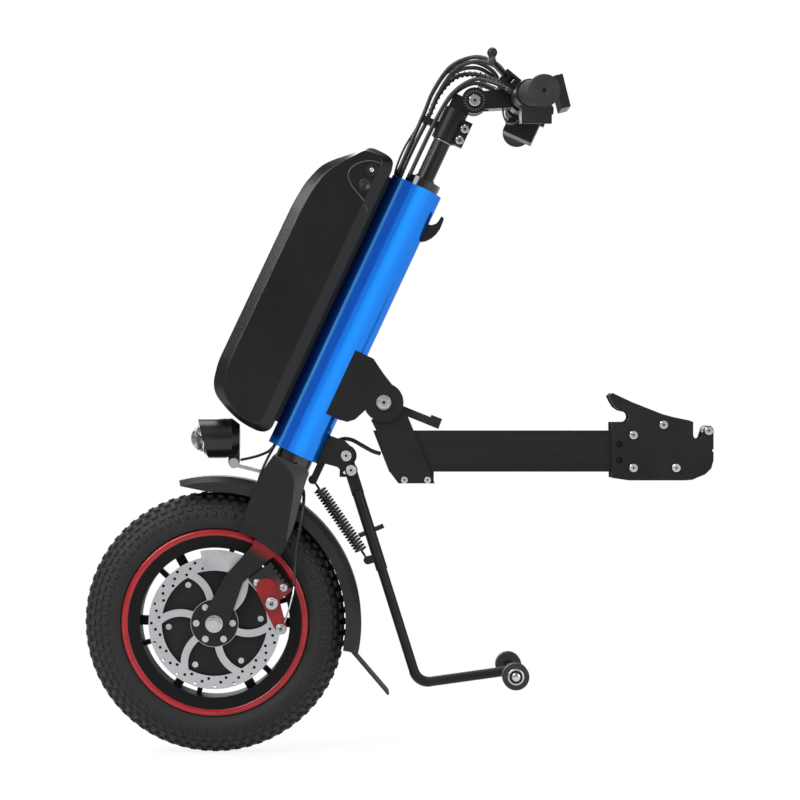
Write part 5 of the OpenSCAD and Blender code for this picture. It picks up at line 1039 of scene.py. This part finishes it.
def batteryShell(size):
    line = -size["back"] - size["groove"]
    corners = [batteryPlace(share) for share in size["outlineShares"]]
    ring = cutRing(roundedRing(corners, size["reach"], size["cornerSteps"]), line)
    centre = batteryPlace((0.5, 0.5))
    count, behind = len(ring), sum(point.x >= line - tiny for point in ring)
    points, faces = [], []
    profile = [(0.0, size["grooveHalf"]), *size["bevel"]]
    for side in (-1, 1):
        start = len(points)
        for inset, reach in profile:
            across = 1 - inset / (size["depth"] / 2)
            along = 1 - inset * size["endShare"] / (size["long"] / 2)
            points += [headPlace(centre.x + (q.x - centre.x) * across, side * reach,
                                 centre.y + (q.y - centre.y) * along) for q in ring]
        last = start + (len(profile) - 1) * count
        faces += bandFaces(len(profile), count, start)
        faces.append(tuple(range(last, last + count)))
        faces.append(tuple(range(start, start + behind)))  # the groove's side wall
    other = len(profile) * count
    faces += [(k, (k + 1) % count, other + (k + 1) % count, other + k) for k in range(behind - 1, count)]
    faces.append((0, behind - 1, other + behind - 1, other))  # the groove's floor
    return points, faces


def batteryReach(inset):
    # half width of the shell at a distance in from its back edge
    for (a, low), (b, high) in zip(battery["bevel"], battery["bevel"][1:]):
        if a <= inset < b:
            return low + (high - low) * (inset - a) / (b - a)
    return battery["bevel"][-1][1]


def onBatteryFace(share, proud=0.0):
    place = batteryPlace(share)
    return sideFace(headPlace(place.x, 0, place.y), -1, batteryReach(share[0] * battery["depth"]) + proud)


shell = addPiece("batteryShell", *batteryShell(battery), "batteryShell")
sharpen(shell, battery["crisp"])
fitted(shell, "battery", "black_plastic", "battery_case_left", "battery_case_right", "battery_cap")
seamRoute = [onBatteryFace(share).translation for share in battery["seamShares"]]
seam = tube(smoothRoute(seamRoute, battery["seamSteps"]), battery["seamRadius"], battery["seamSides"])
# the seam's pale grey is a painted highlight along the moulded line
dress("batterySeam", [seam], "paleSeam", "battery", "black_plastic")
port = turned(battery["portProfile"], onBatteryFace(battery["portShare"]), battery["portSteps"])
dress("batteryPort", [port], "grainedPlastic", "battery", "black_plastic")
keyFace = onBatteryFace(battery["keyShare"], battery["keyProud"])
keyRing = turned(battery["keyRing"], keyFace, battery["keySteps"], True)
keyParts = [keyRing, block(*battery["keySlit"], keyFace)]
dress("keySlot", keyParts, "mirrorSilver", "key_lock", "bright_steel")
print("battery closed")


def stageFinish(name, look):
    # pale ground: white to the camera and in reflections, with a faint shadow close to the part
    s, coords = openMaterial(name)
    away = s.node("VectorMath", {"operation": "DISTANCE"}, {0: coords, 1: look["centre"]}, 1)
    outs = s.node("LightPath").out.node.outputs
    seen = [Shade(s.tree, outs[key]) for key in ("Is Camera Ray", "Is Glossy Ray", "Is Transmission Ray")]
    share = s.node("Clamp", {}, {"Value": seen[0] + seen[1] * look["gleam"] + seen[2]})
    whole = away.step(look["near"], look["far"]) * (1.0 - look["share"]) + look["share"]
    plain = s.node("BsdfDiffuse", {}, {"Color": rgba(look["tone"])})
    glow = s.node("Emission", {}, {"Color": rgba((1.0, 1.0, 1.0)), "Strength": 1.0})
    both = s.node("MixShader", {}, {0: share * whole, 1: plain, 2: glow})
    s.node("OutputMaterial", {}, {"Surface": both})


ground = {"half": 30, "tone": (0.86, 0.86, 0.86), "centre": (-0.3, 0.0, floorAt * mm), "near": 0.25,
          "far": 0.9, "share": 0.86, "gleam": 0.6}
stageFinish("paleFloor", ground)
corners = [(x * ground["half"], y * ground["half"], floorAt * mm)
           for x, y in ((-1, -1), (1, -1), (1, 1), (-1, 1))]
floorMesh = bpy.data.meshes.new("floor")
floorMesh.from_pydata(corners, [], [(0, 1, 2, 3)])
floorMesh.materials.append(finishes["paleFloor"])
floor = bpy.data.objects.new("floor", floorMesh)
bpy.context.scene.collection.objects.link(floor)

# sky: white to the camera and through the lens, dimmer as a light
world = bpy.data.worlds.new("studio")
bpy.context.scene.world = world
world.use_nodes = True
world.node_tree.nodes.clear()
skyDim = 0.32
sky = Shade(world.node_tree)
skyPath = sky.node("LightPath").out.node.outputs
skySeen = sky.node("Clamp", {}, {"Value": Shade(sky.tree, skyPath["Is Camera Ray"])
                                 + Shade(sky.tree, skyPath["Is Transmission Ray"])})
skyStrength = skySeen * (1.0 - skyDim) + skyDim
skyGlow = sky.node("Background", {}, {"Color": rgba((1, 1, 1)), "Strength": skyStrength})
sky.node("OutputWorld", {}, {"Surface": skyGlow})

lights = {
    "key": {"at": (-2.2, -2.4, 2.2), "size": 2.2, "power": 95.0},
    "fill": {"at": (2.4, -2.2, 0.9), "size": 2.4, "power": 45.0},
    "top": {"at": (-0.2, 0.3, 2.6), "size": 2.0, "power": 45.0},
    "rim": {"at": (-1.2, 2.6, 1.4), "size": 2.0, "power": 50.0},
    "left": {"at": (-2.7, -0.5, 1.95), "size": 1.0, "power": 26.0},
    "line": {"at": (-2.53, -1.68, 1.25), "size": 0.35, "power": 6.0},
}
lookAt = Vector((-0.3, 0, 0.0))
for lightName, given in lights.items():
    light = bpy.data.lights.new(lightName, "AREA")
    light.shape, light.size, light.energy = "DISK", given["size"], given["power"]
    holder = bpy.data.objects.new(lightName, light)
    holder.location = given["at"]
    holder.rotation_mode = "QUATERNION"
    holder.rotation_quaternion = (lookAt - Vector(given["at"])).to_track_quat("-Z", "Y")
    bpy.context.scene.collection.objects.link(holder)

view = {"distance": 3.390, "at": (-0.3391, 0.0204), "width": 0.9784, "shift": 0.06875, "sensor": 36.0,
        "far": 60.0}
lens = bpy.data.cameras.new("camera")
lens.sensor_width = view["sensor"]
lens.lens = view["sensor"] * view["distance"] / view["width"]
lens.shift_x = view["shift"]
lens.clip_end = view["far"]
camera = bpy.data.objects.new("camera", lens)
camera.location = (view["at"][0], -view["distance"], view["at"][1])
camera.rotation_euler = (math.radians(90), 0, 0)
bpy.context.scene.collection.objects.link(camera)
bpy.context.scene.camera = camera
bpy.context.scene.view_settings.view_transform = "Standard"
print("stage set")
